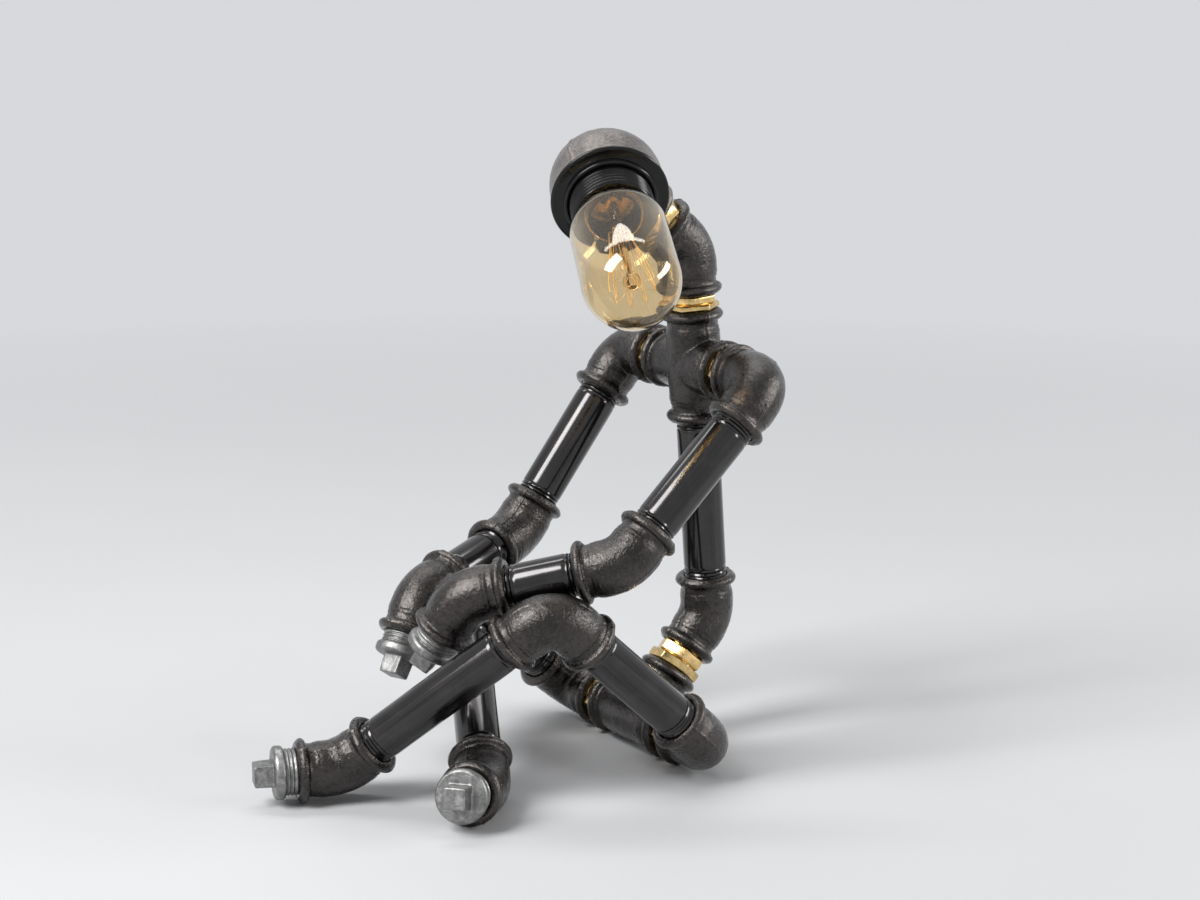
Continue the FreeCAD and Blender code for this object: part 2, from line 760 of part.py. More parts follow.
def lead(name, points, bend):
    """Round lead along straight runs, with a tangent arc of one radius at each inner point."""
    edges = []
    here = points[0]
    for before, corner, after in zip(points, points[1:], points[2:]):
        way_in = (corner - before).normalize()
        way_out = (after - corner).normalize()
        half = way_in.getAngle(way_out) / 2
        tangent = bend * math.tan(half)
        start = corner - way_in * tangent
        stop = corner + way_out * tangent
        inward = (way_out - way_in).normalize()
        centre = corner + inward * (bend / math.cos(half))
        edges.append(Part.LineSegment(here, start).toShape())
        edges.append(Part.Arc(start, centre - inward * bend, stop).toShape())
        here = stop
    edges.append(Part.LineSegment(here, points[-1]).toShape())
    path = Part.Wire(edges)
    radius = amount_of("lead_od") / 2
    circle = Part.Circle(points[0], points[1] - points[0], radius)
    shape = path.makePipeShell([Part.Wire([circle.toShape()])], True, False)
    expected = math.pi * radius * radius * path.Length
    if abs(shape.Volume - expected) > expected * 0.01:
        raise RuntimeError("%s: its volume does not match its length" % name)
    return coded_part(name, shape)


# Pose: where each piece lies.

def turned_about(vector, axis, degrees):
    """A vector turned about an axis."""
    return Rotation(axis, degrees).multVec(vector)


def unit(vector):
    """The same direction with length one."""
    return Vector(vector) / vector.Length


def bent(way, side, degrees):
    """The direction that leaves a way at an angle, on the given side of it."""
    across = unit(side - way * side.dot(way))
    turn = math.radians(degrees)
    return unit(way * math.cos(turn) + across * math.sin(turn))


def aim(origin, along, side):
    """Placement whose Z points along one direction and whose X leans toward another."""
    z = unit(along)
    x = unit(side - z * side.dot(z))
    y = z.cross(x)
    return Placement(Matrix(x.x, y.x, z.x, origin.x, x.y, y.y, z.y, origin.y,
                            x.z, y.z, z.z, origin.z, 0, 0, 0, 1))


def bead_bottom(centre, axis, reach):
    """Lowest height of the bead of a port that leaves a centre along an axis."""
    flat = math.sqrt(max(0.0, 1 - axis.z * axis.z))
    return min(centre.z + axis.z * height.value - flat * radius.value for radius, height in bead_corners(reach))


def leg_points(side, hip, raise_angle, knee_roll, foot_roll, thigh_length):
    """Hip, knee and foot centres with the directions of thigh, shin and foot."""
    ahead = Vector(0, -math.cos(math.radians(raise_angle)), math.sin(math.radians(raise_angle)))
    thigh = bent(SIDE * side, ahead, FULL_BEND)
    full = amount_of("elbow_reach")
    half = amount_of("half_elbow_reach")
    knee = hip + thigh * (full * 2 + thigh_length)
    shin = bent(thigh, turned_about(SIDE, thigh, knee_roll), FULL_BEND)
    foot = knee + shin * (full + amount_of("shin_length") + half)
    toe = bent(shin, turned_about(BACK * -1, shin, foot_roll), HALF_BEND)
    return {"side": side, "hip": hip, "thigh": thigh, "knee": knee, "shin": shin, "foot": foot, "toe": toe}


def foot_height(leg):
    """Lowest height of the two beads of the foot elbow."""
    reach = cell("half_elbow_reach")
    return min(bead_bottom(leg["foot"], leg["shin"] * -1, reach), bead_bottom(leg["foot"], leg["toe"], reach))


def seated_leg(side, hip, knee_roll, foot_roll, thigh_length):
    """The leg whose thigh is raised just so far that its foot rests on the table."""
    low, high = 15.0, 75.0
    for _ in range(50):
        middle = (low + high) / 2
        if foot_height(leg_points(side, hip, middle, knee_roll, foot_roll, thigh_length)) > 0:
            high = middle
        else:
            low = middle
    return leg_points(side, hip, high, knee_roll, foot_roll, thigh_length)


def arm_points(side, shoulder, drop, elbow_roll, hand_roll):
    """Shoulder, elbow and hand centres with the directions of upper arm, forearm and hand."""
    ahead = Vector(0, -math.cos(math.radians(drop)), -math.sin(math.radians(drop)))
    arm = bent(SIDE * side, ahead, FULL_BEND)
    full = amount_of("elbow_reach")
    half = amount_of("half_elbow_reach")
    elbow = shoulder + arm * (full + amount_of("upper_arm_length") + half)
    forearm = bent(arm, turned_about(arm.cross(SIDE), arm, elbow_roll), HALF_BEND)
    hand = elbow + forearm * (half * 2 + amount_of("forearm_length"))
    finger = bent(forearm, turned_about(forearm.cross(SIDE), forearm, hand_roll), HALF_BEND)
    return {"side": side, "shoulder": shoulder, "arm": arm, "elbow": elbow, "forearm": forearm,
            "hand": hand, "finger": finger}


def figure_points():
    """All joint centres and directions of the seated figure, with the hips on the table."""
    lean = math.radians(amount_of("branch_lean"))
    upright = math.radians(amount_of("branch_lean") - HALF_BEND)
    full, half, tee = amount_of("elbow_reach"), amount_of("half_elbow_reach"), amount_of("tee_reach")
    pelvis = Vector(0, 0, amount_of("bead_od") / 2)
    branch = Vector(0, math.sin(lean), math.cos(lean))
    spine = Vector(0, math.sin(upright), math.cos(upright))
    waist = pelvis + branch * (tee + amount_of("waist_gap") + half)
    chest = waist + spine * (half + amount_of("spine_length") + tee)
    neck = chest + spine * (tee + amount_of("neck_gap") + half)
    nape = bent(spine, SIDE.cross(spine), HALF_BEND)
    head = neck + nape * (half + amount_of("head_gap") + amount_of("head_reach"))
    down = unit(nape.cross((UP * -1).cross(nape)))
    mouth = turned_about(down, nape, amount_of("head_roll"))
    points = {"pelvis": pelvis, "branch": branch, "spine": spine, "waist": waist, "chest": chest,
              "neck": neck, "nape": nape, "head": head, "mouth": mouth}
    for side, sign in (("left", 1), ("right", -1)):
        shoulder = chest + SIDE * sign * (tee + amount_of("shoulder_gap") + full)
        points["arm_" + side] = arm_points(sign, shoulder, amount_of(side + "_shoulder_drop"),
                                           amount_of(side + "_elbow_roll"), amount_of(side + "_hand_roll"))
        hip = pelvis + SIDE * sign * (tee + amount_of("hip_gap") + full)
        points["leg_" + side] = seated_leg(sign, hip, amount_of(side + "_knee_roll"),
                                           amount_of(side + "_foot_roll"), amount_of(side + "_thigh_length"))
    return points


def place(piece, placement):
    """Put a piece where it belongs."""
    piece.Placement = placement
    PIECES.append(piece)


PIECES = []
POINTS = figure_points()


def build_trunk(at):
    """Pelvis, spine, chest and neck with their nipples, nuts and leads."""
    tee, half = amount_of("tee_reach"), amount_of("half_elbow_reach")
    waist_gap, neck_gap, head_gap = cell("waist_gap"), cell("neck_gap"), cell("head_gap")
    on_pelvis = aim(at["pelvis"], at["branch"], SIDE)
    place(pelvis_tee(), on_pelvis)
    place(cable_grommet(), on_pelvis)
    middle = at["pelvis"] + at["branch"] * (tee + waist_gap.value / 2)
    place(hex_nipple("waist_nipple", waist_gap, cell("waist_locknut_thickness")), aim(middle, at["branch"], SIDE))
    nut_frame = aim(middle, at["branch"], turned_about(SIDE, at["branch"], 20))
    place(locknut("waist_locknut", waist_gap, cell("waist_locknut_thickness")), nut_frame)
    place(half_elbow("waist_elbow"), aim(at["waist"], at["branch"], at["spine"]))
    middle = at["waist"] + at["spine"] * (half + amount_of("spine_length") / 2)
    place(steel_pipe("spine_pipe", cell("spine_length")), aim(middle, at["spine"], SIDE))
    place(cast_branches("torso_cross", (0.0, 90.0, 180.0, -90.0)), aim(at["chest"], at["spine"], SIDE))
    middle = at["chest"] + at["spine"] * (tee + neck_gap.value / 2)
    place(hex_nipple("neck_nipple", neck_gap, cell("neck_locknut_thickness")), aim(middle, at["spine"], SIDE))
    nut_frame = aim(middle, at["spine"], turned_about(SIDE, at["spine"], 35))
    place(locknut("neck_locknut", neck_gap, cell("neck_locknut_thickness")), nut_frame)
    place(half_elbow("neck_elbow"), aim(at["neck"], at["spine"], at["nape"]))
    middle = at["neck"] + at["nape"] * (half + head_gap.value / 2)
    place(hex_nipple("head_nipple", head_gap), aim(middle, at["nape"], SIDE))


def build_head(at):
    """Head, lamp holder and bulb on the mouth axis."""
    frame = aim(at["head"], at["mouth"], at["nape"])
    for maker in (head_elbow, lamp_holder, skirt_ring, holder_core, screw_shell, centre_contact,
                  bulb_cap, bulb_base, bulb_tip, bulb_glass, bulb_stem, bulb_filament, filament_hooks):
        place(maker(), frame)


def build_leads(at):
    """Inner leads from the pelvis to the holder, each inside the pieces that it turns with."""
    bend = amount_of("lead_bend")
    tee, half = amount_of("tee_reach"), amount_of("half_elbow_reach")
    still = Placement()
    inlet = unit(at["branch"].cross(SIDE))
    waist_joint = at["pelvis"] + at["branch"] * (tee + amount_of("waist_gap"))
    inner_end = amount_of("waterway") / 2 - amount_of("grommet_lip") / 2
    place(lead("pelvis_lead", [at["pelvis"] + inlet * inner_end, at["pelvis"], waist_joint], inner_end * 0.9), still)
    neck_joint = at["chest"] + at["spine"] * (tee + amount_of("neck_gap"))
    place(lead("torso_lead", [waist_joint, at["waist"], neck_joint], bend), still)
    head_joint = at["neck"] + at["nape"] * (half + amount_of("head_gap"))
    place(lead("neck_lead", [neck_joint, at["neck"], head_joint], bend), still)
    terminal = at["head"] + at["mouth"] * (barrel_end.value + amount_of("holder_floor"))
    place(lead("head_lead", [head_joint, at["head"], terminal], bend), still)


def build_arm(side, arm, chest):
    """One arm: nipple, shoulder, pipes, elbow, hand and plug."""
    sign = arm["side"]
    tee, full, half = amount_of("tee_reach"), amount_of("elbow_reach"), amount_of("half_elbow_reach")
    outward = SIDE * sign
    middle = chest + outward * (tee + amount_of("shoulder_gap") / 2)
    place(hex_nipple("shoulder_nipple_" + side, cell("shoulder_gap")), aim(middle, outward, UP))
    place(full_elbow("shoulder_elbow_" + side), aim(arm["shoulder"], outward, arm["arm"]))
    middle = arm["shoulder"] + arm["arm"] * (full + amount_of("upper_arm_length") / 2)
    place(steel_pipe("upper_arm_pipe_" + side, cell("upper_arm_length")), aim(middle, arm["arm"], SIDE))
    place(half_elbow("arm_elbow_" + side), aim(arm["elbow"], arm["arm"], arm["forearm"]))
    middle = (arm["elbow"] + arm["hand"]) * 0.5
    place(steel_pipe("forearm_pipe_" + side, cell("forearm_length")), aim(middle, arm["forearm"], SIDE))
    place(half_elbow("hand_elbow_" + side), aim(arm["hand"], arm["forearm"], arm["finger"]))
    place(end_plug("hand_plug_" + side), aim(arm["hand"] + arm["finger"] * half, arm["finger"], UP))


def build_leg(side, leg, pelvis):
    """One leg: nipple, hip, thigh, knee, shin, foot and plug."""
    sign = leg["side"]
    tee, full, half = amount_of("tee_reach"), amount_of("elbow_reach"), amount_of("half_elbow_reach")
    outward = SIDE * sign
    middle = pelvis + outward * (tee + amount_of("hip_gap") / 2)
    place(hex_nipple("hip_nipple_" + side, cell("hip_gap")), aim(middle, outward, UP))
    place(full_elbow("hip_elbow_" + side), aim(leg["hip"], outward, leg["thigh"]))
    middle = (leg["hip"] + leg["knee"]) * 0.5
    place(steel_pipe("thigh_pipe_" + side, cell(side + "_thigh_length")), aim(middle, leg["thigh"], SIDE))
    place(full_elbow("knee_elbow_" + side), aim(leg["knee"], leg["thigh"], leg["shin"]))
    middle = leg["knee"] + leg["shin"] * (full + amount_of("shin_length") / 2)
    place(steel_pipe("shin_pipe_" + side, cell("shin_length")), aim(middle, leg["shin"], SIDE))
    place(half_elbow("foot_elbow_" + side), aim(leg["foot"], leg["shin"], leg["toe"]))
    place(end_plug("foot_plug_" + side), aim(leg["foot"] + leg["toe"] * half, leg["toe"], UP))


build_trunk(POINTS)
build_head(POINTS)
build_leads(POINTS)
for side_name in ("left", "right"):
    build_arm(side_name, POINTS["arm_" + side_name], POINTS["chest"])
    build_leg(side_name, POINTS["leg_" + side_name], POINTS["pelvis"])
doc.recompute()

# The origin is the middle of the footprint on the table.
whole = Part.Compound([piece.Shape for piece in PIECES]).optimalBoundingBox(False, False)
SHIFT = Vector(-whole.Center.x, -whole.Center.y, 0)
for piece in PIECES:
    moved = piece.Placement
    moved.Base = moved.Base + SHIFT
    piece.Placement = moved
doc.recompute()

for item in doc.Objects:
    if "Invalid" in item.State or "Error" in item.State:
        raise RuntimeError("%s could not be built" % item.Label)
for piece in PIECES:
    if piece.Shape.isNull() or not piece.Shape.isValid() or not piece.Shape.Solids:
        raise RuntimeError("%s is not a sound solid" % piece.Label)

os.makedirs("parts", exist_ok=True)
for piece in PIECES:
    piece.Shape.exportStep("parts/%s.step" % piece.Label)
print("%d pieces" % len(PIECES))
print("size %.1f x %.1f x %.1f" % (whole.XLength, whole.YLength, whole.ZLength))
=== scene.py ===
import json
import math

import bpy
from mathutils import Matrix, Vector


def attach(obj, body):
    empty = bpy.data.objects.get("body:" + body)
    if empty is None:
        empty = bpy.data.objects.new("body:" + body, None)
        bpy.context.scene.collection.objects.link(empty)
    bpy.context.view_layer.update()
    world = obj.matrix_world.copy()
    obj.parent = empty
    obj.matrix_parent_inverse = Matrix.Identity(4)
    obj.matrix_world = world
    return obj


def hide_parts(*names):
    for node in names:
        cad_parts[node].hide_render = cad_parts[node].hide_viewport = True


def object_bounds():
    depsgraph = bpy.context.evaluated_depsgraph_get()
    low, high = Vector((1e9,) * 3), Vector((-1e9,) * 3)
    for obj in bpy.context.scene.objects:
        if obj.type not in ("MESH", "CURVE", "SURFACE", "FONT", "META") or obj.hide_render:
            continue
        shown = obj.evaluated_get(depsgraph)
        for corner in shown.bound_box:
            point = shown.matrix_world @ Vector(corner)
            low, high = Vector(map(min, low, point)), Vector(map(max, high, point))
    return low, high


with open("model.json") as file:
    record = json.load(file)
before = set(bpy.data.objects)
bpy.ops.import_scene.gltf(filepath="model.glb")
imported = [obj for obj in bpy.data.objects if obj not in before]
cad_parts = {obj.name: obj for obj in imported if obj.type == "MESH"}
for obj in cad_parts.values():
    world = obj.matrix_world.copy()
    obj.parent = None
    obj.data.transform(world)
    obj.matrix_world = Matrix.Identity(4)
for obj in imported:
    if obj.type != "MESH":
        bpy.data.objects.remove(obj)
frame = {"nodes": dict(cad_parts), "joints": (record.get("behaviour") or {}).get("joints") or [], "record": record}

MM = 0.001
UP = Vector((0, 0, 1))
SIDES = ("left", "right")
cad_box = [[float(value) for value in corner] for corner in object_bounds()]
record = frame["record"]
BODY_OF = {node: body for body, nodes in record["behaviour"]["bodies"].items() for node in nodes}
JOINT = {joint["name"]: joint for joint in frame["joints"]}

# Sizes of the standard parts, in millimetres.
PIPE_RADIUS = 10.65
PIPE_BORE = 8.05
FULL_REACH = 28.0
HALF_REACH = 22.0
THREAD_PITCH = 1.81
THREAD_GRIP = 13.0
THREAD_LENGTH = 5.6
WAIST_GAP = 12.0
NECK_GAP = 8.0
HEAD_GAP = 7.5
SHOULDER_GAP = 5.6
HIP_GAP = 6.4
WAIST_NUT_SEAT = 5.4
NECK_NUT_SEAT = 3.4
NIPPLE_FLATS = 22.0
NUT_FLATS = 24.0

# Rolled beads: the round's own radii, how far it lies behind the port's face, and the drawn-in
# stretches behind it as (near, far, depth) from that face.
BEAD_RING = 13.05
BEAD_ROUND = 2.35
BEAD_FLATNESS = 0.92
BEAD_BACK = 2.75
DRAWN_IN = ((4.6, 10.5, 0.3), (4.9, 8.6, 0.45))
NECK_SKIN = (11.8, 14.4)

# Parting seam: half its width, how proud it stands, and the radius outside which it shows.
SEAM_WIDTH = 0.55
SEAM_HEIGHT = 0.32
SEAM_SKIN = 11.6

ACROSS = Vector((1, 0, 0))

# The camera stands where the photograph was taken from: its place as seen from the neck's joint.
CAMERA_FROM_NECK = Vector((1015.22, -692.84, 178.77)) * MM
CAMERA_YAW = 57.78
CAMERA_PITCH = 11.86
CAMERA_LENS = 75.38


# Places on the figure, read from its joints.

def joint_point(name):
    """Point on a joint's axis."""
    return Vector(JOINT[name]["pos_m"])


def joint_way(name):
    """Direction of a joint's axis."""
    return Vector(JOINT[name]["axis"]).normalized()


def node_points(node):
    """Places of a node's points."""
    return [vertex.co for vertex in frame["nodes"][node].data.vertices]


def node_middle(node):
    """Mean place of a node's points."""
    points = node_points(node)
    return sum(points, Vector()) / len(points)


def middle_between(first, second):
    """Spot halfway between two nodes."""
    return (node_middle(first) + node_middle(second)) / 2


def chest_point():
    """Crossing of the chest fitting's axes."""
    return middle_between("shoulder_nipple_left", "shoulder_nipple_right")


def hip_point():
    """Crossing of the hip tee's axes."""
    return middle_between("hip_nipple_left", "hip_nipple_right")


def span(node, start, way):
    """Lowest and highest reach of a node along a line."""
    heights = [(point - start).dot(way) for point in node_points(node)]
    return min(heights), max(heights)


def frame_on(origin, way, side=None):
    """Placement whose Z is the given direction and whose X lies towards side."""
    along = way.normalized()
    side = side or (ACROSS if abs(along.x) < 0.8 else UP)
    across = along.cross(side).normalized()
    side = across.cross(along)
    turned = Matrix((side, across, along)).transposed().to_4x4()
    return Matrix.Translation(origin) @ turned


# Modelling helpers: each finished piece keeps its object at the origin.

def pick(piece):
    """Make one object the only selected and the active one."""
    bpy.ops.object.select_all(action="DESELECT")
    piece.select_set(True)
    bpy.context.view_layer.objects.active = piece


def edit(piece):
    """Open a piece in edit mode with all of it selected."""
    pick(piece)
    bpy.ops.object.mode_set(mode="EDIT")
    bpy.ops.mesh.select_mode(type="VERT")
    bpy.ops.mesh.select_all(action="SELECT")


def leave():
    """Go back to object mode."""
    bpy.ops.object.mode_set(mode="OBJECT")


def select_where(piece, test):
    """Select a piece's points by their place, and open it in edit mode."""
    pick(piece)
    bpy.ops.object.mode_set(mode="EDIT")
    bpy.ops.mesh.select_mode(type="VERT")
    bpy.ops.mesh.select_all(action="DESELECT")
    leave()
    for vertex in piece.data.vertices:
        vertex.select = test(vertex)
    bpy.ops.object.mode_set(mode="EDIT")


def apply_modifiers(piece):
    """Apply a piece's modifiers in their order."""
    pick(piece)
    for modifier in list(piece.modifiers):
        bpy.ops.object.modifier_apply(modifier=modifier.name)


def settle(piece, placement=None):
    """Put the placement into the mesh, so the object stays at the origin."""
    if placement is not None:
        piece.data.transform(placement)
    pick(piece)
    bpy.ops.object.transform_apply(location=True, rotation=True, scale=True)
    return piece


def copy_of(node, name):
    """A merged copy of a CAD node's mesh as a piece of its own."""
    piece = bpy.data.objects.new(name, frame["nodes"][node].data.copy())
    bpy.context.scene.collection.objects.link(piece)
    piece.data.materials.clear()
    edit(piece)
    bpy.ops.mesh.remove_doubles(threshold=0.002 * MM)
    leave()
    return piece


def lathe(name, outline, sides=64):
    """Turned piece about Z: a circle is added and extruded from ring to ring of (radius, height) in mm."""
    radius, height = outline[0]
    bpy.ops.mesh.primitive_circle_add(vertices=sides, radius=radius * MM, location=(0, 0, 0))
    piece = bpy.context.active_object
    piece.name = name
    edit(piece)
    bpy.ops.transform.translate(value=(0, 0, height * MM))
    for next_radius, next_height in outline[1:]:
        rise = (next_height - height) * MM
        bpy.ops.mesh.extrude_region_move(TRANSFORM_OT_translate={"value": (0, 0, rise)})
        factor = next_radius / radius
        bpy.ops.transform.resize(value=(factor, factor, 1), center_override=(0, 0, next_height * MM))
        radius, height = next_radius, next_height
    bpy.ops.mesh.select_all(action="SELECT")
    bpy.ops.mesh.remove_doubles(threshold=0.03 * MM)
    bpy.ops.mesh.delete_loose(use_verts=True, use_edges=True, use_faces=False)
    bpy.ops.mesh.select_all(action="SELECT")
    bpy.ops.mesh.normals_make_consistent(inside=False)
    leave()
    return piece


def soft_edges(piece, width, segments=2, angle=35):
    """Round a piece's sharp edges."""
    bevel = piece.modifiers.new("edges", "BEVEL")
    bevel.width = width * MM
    bevel.segments = segments
    bevel.limit_method = "ANGLE"
    bevel.angle_limit = math.radians(angle)
    bevel.harden_normals = False
    apply_modifiers(piece)


def smooth(piece, angle=40):
    """Shade a piece smooth except over its sharp edges."""
    pick(piece)
    bpy.ops.object.shade_smooth_by_angle(angle=math.radians(angle))


def dress(piece, node, material, replace=True):
    """Give a piece its material and its body, after the node that it stands for."""
    piece.data.materials.clear()
    piece.data.materials.append(material)
    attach(piece, BODY_OF[node])
    if replace:
        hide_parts(node)
    return piece


# Materials.

def new_material(name):
    """Material with a Principled shader, and its node tree."""
    material = bpy.data.materials.new(name)
    material.use_nodes = True
    return material, material.node_tree, material.node_tree.nodes["Principled BSDF"]


def object_place(tree, placement=None, stretch=(1, 1, 1)):
    """Object coordinates, turned onto a piece's own axis and stretched where asked."""
    place = tree.nodes.new("ShaderNodeTexCoord").outputs["Object"]
    if placement is None and stretch == (1, 1, 1):
        return place
    mapping = tree.nodes.new("ShaderNodeMapping")
    mapping.vector_type = "POINT"
    if placement is not None:
        inverse = placement.inverted()
        mapping.inputs["Location"].default_value = inverse.to_translation()
        mapping.inputs["Rotation"].default_value = inverse.to_euler("XYZ")
    tree.links.new(place, mapping.inputs["Vector"])
    scaled = tree.nodes.new("ShaderNodeVectorMath")
    scaled.operation = "MULTIPLY"
    scaled.inputs[1].default_value = stretch
    tree.links.new(mapping.outputs["Vector"], scaled.inputs[0])
    return scaled.outputs["Vector"]


def noise(tree, place, scale, detail=2.0, rough=0.5, warp=0.0):
    """Noise texture value."""
    node = tree.nodes.new("ShaderNodeTexNoise")
    node.inputs["Scale"].default_value = scale
    node.inputs["Detail"].default_value = detail
    node.inputs["Roughness"].default_value = rough
    node.inputs["Distortion"].default_value = warp
    tree.links.new(place, node.inputs["Vector"])
    return node.outputs["Fac"]


def ramp(tree, value, stops):
    """Colour ramp over (position, colour) stops."""
    node = tree.nodes.new("ShaderNodeValToRGB")
    band = node.color_ramp
    while len(band.elements) < len(stops):
        band.elements.new(0.5)
    for element, (position, colour) in zip(band.elements, stops):
        element.position = position
        element.color = (*colour, 1) if len(colour) == 3 else colour
    tree.links.new(value, node.inputs["Fac"])
    return node.outputs["Color"]


def spread(tree, value, low, high, from_low=0.3, from_high=0.7):
    """Map a value from one range to another."""
    node = tree.nodes.new("ShaderNodeMapRange")
    node.inputs["From Min"].default_value = from_low
    node.inputs["From Max"].default_value = from_high
    node.inputs["To Min"].default_value = low
    node.inputs["To Max"].default_value = high
    tree.links.new(value, node.inputs["Value"])
    return node.outputs["Result"]


def blend_colour(tree, factor, first, second):
    """Mix two colours or colour outputs."""
    node = tree.nodes.new("ShaderNodeMix")
    node.data_type = "RGBA"
    node.blend_type = "MIX"
    for key, value in (("Factor", factor), ("A", first), ("B", second)):
        slots = [entry for entry in node.inputs if entry.name == key and entry.enabled]
        socket = slots[0]
        if isinstance(value, bpy.types.NodeSocket):
            tree.links.new(value, socket)
        elif isinstance(value, (int, float)):
            socket.default_value = value
        else:
            socket.default_value = (*value, 1)
    return [entry for entry in node.outputs if entry.enabled][0]


def combine(tree, first, second, kind="MULTIPLY"):
    """Join two values by a math operation."""
    node = tree.nodes.new("ShaderNodeMath")
    node.operation = kind
    for socket, value in zip(node.inputs, (first, second)):
        if isinstance(value, bpy.types.NodeSocket):
            tree.links.new(value, socket)
        else:
            socket.default_value = value
    return node.outputs["Value"]


def bump(tree, height, distance, strength=1.0, before=None):
    """Bump from a height value, laid over another where given."""
    node = tree.nodes.new("ShaderNodeBump")
    node.inputs["Distance"].default_value = distance * MM
    node.inputs["Strength"].default_value = strength
    tree.links.new(height, node.inputs["Height"])
    if before is not None:
        tree.links.new(before, node.inputs["Normal"])
    return node.outputs["Normal"]


def worn_edges(tree):
    """How exposed a spot is: 0 in hollows and on flats, 1 on rims."""
    geometry = tree.nodes.new("ShaderNodeNewGeometry")
    return spread(tree, geometry.outputs["Pointiness"], 0, 1, 0.52, 0.6)


def cast_iron(name, dark, pale, wear, grain=0.16, gloss=0.36):
    """Lacquered casting: mottled dark skin, fine sand grain, warm worn rims."""
    material, tree, shader = new_material(name)
    place = object_place(tree)
    mottle = noise(tree, place, 70, 5, 0.6, 0.4)
    colour = ramp(tree, mottle, [(0.3, dark), (0.72, pale)])
    flecks = noise(tree, place, 620, 3, 0.75)
    colour = blend_colour(tree, spread(tree, flecks, 0, 0.7, 0.5, 0.68), colour, pale)
    hollows = tuple(value * 0.35 for value in dark)
    colour = blend_colour(tree, spread(tree, flecks, 0.75, 0, 0.32, 0.46), colour, hollows)
    rubbed = combine(tree, worn_edges(tree), spread(tree, noise(tree, place, 240, 4), 0.25, 1, 0.35, 0.6))
    colour = blend_colour(tree, rubbed, colour, wear)
    tree.links.new(colour, shader.inputs["Base Color"])
    rough = spread(tree, noise(tree, place, 160, 4, 0.6), gloss - 0.06, gloss + 0.1)
    tree.links.new(rough, shader.inputs["Roughness"])
    shader.inputs["Metallic"].default_value = 0.95
    shader.inputs["Coat Weight"].default_value = 0.6
    shader.inputs["Coat Roughness"].default_value = 0.13
    sand = noise(tree, place, 850, 3, 0.7)
    waves = noise(tree, place, 330, 3, 0.55)
    normal = bump(tree, waves, grain * 1.6, 0.6)
    normal = bump(tree, sand, grain * 1.5, 1.0, normal)
    tree.links.new(normal, shader.inputs["Coat Normal"])
    tree.links.new(normal, shader.inputs["Normal"])
    return material


def pipe_lacquer(name, placement):
    """Drawn steel pipe under dark lacquer: fine lines and faint streaks along its own axis."""
    material, tree, shader = new_material(name)
    streaks = noise(tree, object_place(tree, placement, (1, 1, 0.02)), 900, 3, 0.6)
    cloud = noise(tree, object_place(tree), 90, 4, 0.6)
    specks = noise(tree, object_place(tree), 1300, 2, 0.8)
    colour = ramp(tree, streaks, [(0.3, (0.030, 0.029, 0.030)), (0.75, (0.050, 0.048, 0.048))])
    colour = blend_colour(tree, spread(tree, cloud, 0, 0.5, 0.45, 0.7), colour, (0.064, 0.057, 0.053))
    colour = blend_colour(tree, spread(tree, specks, 0, 0.8, 0.72, 0.8), colour, (0.40, 0.38, 0.36))
    tree.links.new(colour, shader.inputs["Base Color"])
    tree.links.new(spread(tree, streaks, 0.14, 0.24), shader.inputs["Roughness"])
    shader.inputs["Metallic"].default_value = 0.95
    shader.inputs["Coat Weight"].default_value = 0.35
    shader.inputs["Coat Roughness"].default_value = 0.06
    normal = bump(tree, streaks, 0.02, 0.5)
    normal = bump(tree, specks, 0.012, 0.4, normal)
    tree.links.new(normal, shader.inputs["Normal"])
    return material


def polished_brass(name, base, gloss):
    """Turned or drawn brass with faint tarnish and fine scratches."""
    material, tree, shader = new_material(name)
    place = object_place(tree)
    tarnish = noise(tree, place, 260, 4, 0.6, 0.5)
    dark = tuple(value * 0.62 for value in base)
    colour = ramp(tree, tarnish, [(0.28, dark), (0.6, base)])
    tree.links.new(colour, shader.inputs["Base Color"])
    tree.links.new(spread(tree, noise(tree, place, 700, 3, 0.7), gloss - 0.06, gloss + 0.1),
                   shader.inputs["Roughness"])
    shader.inputs["Metallic"].default_value = 1.0
    scratches = noise(tree, object_place(tree, None, (1, 1, 0.15)), 1800, 2, 0.6)
    tree.links.new(bump(tree, scratches, 0.015, 0.4), shader.inputs["Normal"])
    return material


def galvanised(name):
    """Hot-dip zinc on cast iron: pale, grainy, dull in the hollows."""
    material, tree, shader = new_material(name)
    place = object_place(tree)
    cloud = noise(tree, place, 240, 5, 0.65, 0.6)
    colour = ramp(tree, cloud, [(0.3, (0.14, 0.14, 0.135)), (0.5, (0.24, 0.24, 0.235)),
                                (0.7, (0.40, 0.40, 0.39))])
    pits = noise(tree, place, 1500, 3, 0.75)
    colour = blend_colour(tree, spread(tree, pits, 0.7, 0, 0.3, 0.46), colour, (0.05, 0.048, 0.046))
    tree.links.new(colour, shader.inputs["Base Color"])
    tree.links.new(spread(tree, pits, 0.5, 0.32), shader.inputs["Roughness"])
    shader.inputs["Metallic"].default_value = 0.9
    normal = bump(tree, noise(tree, place, 600, 3, 0.6), 0.16, 0.7)
    normal = bump(tree, pits, 0.12, 0.9, normal)
    tree.links.new(normal, shader.inputs["Normal"])
    return material


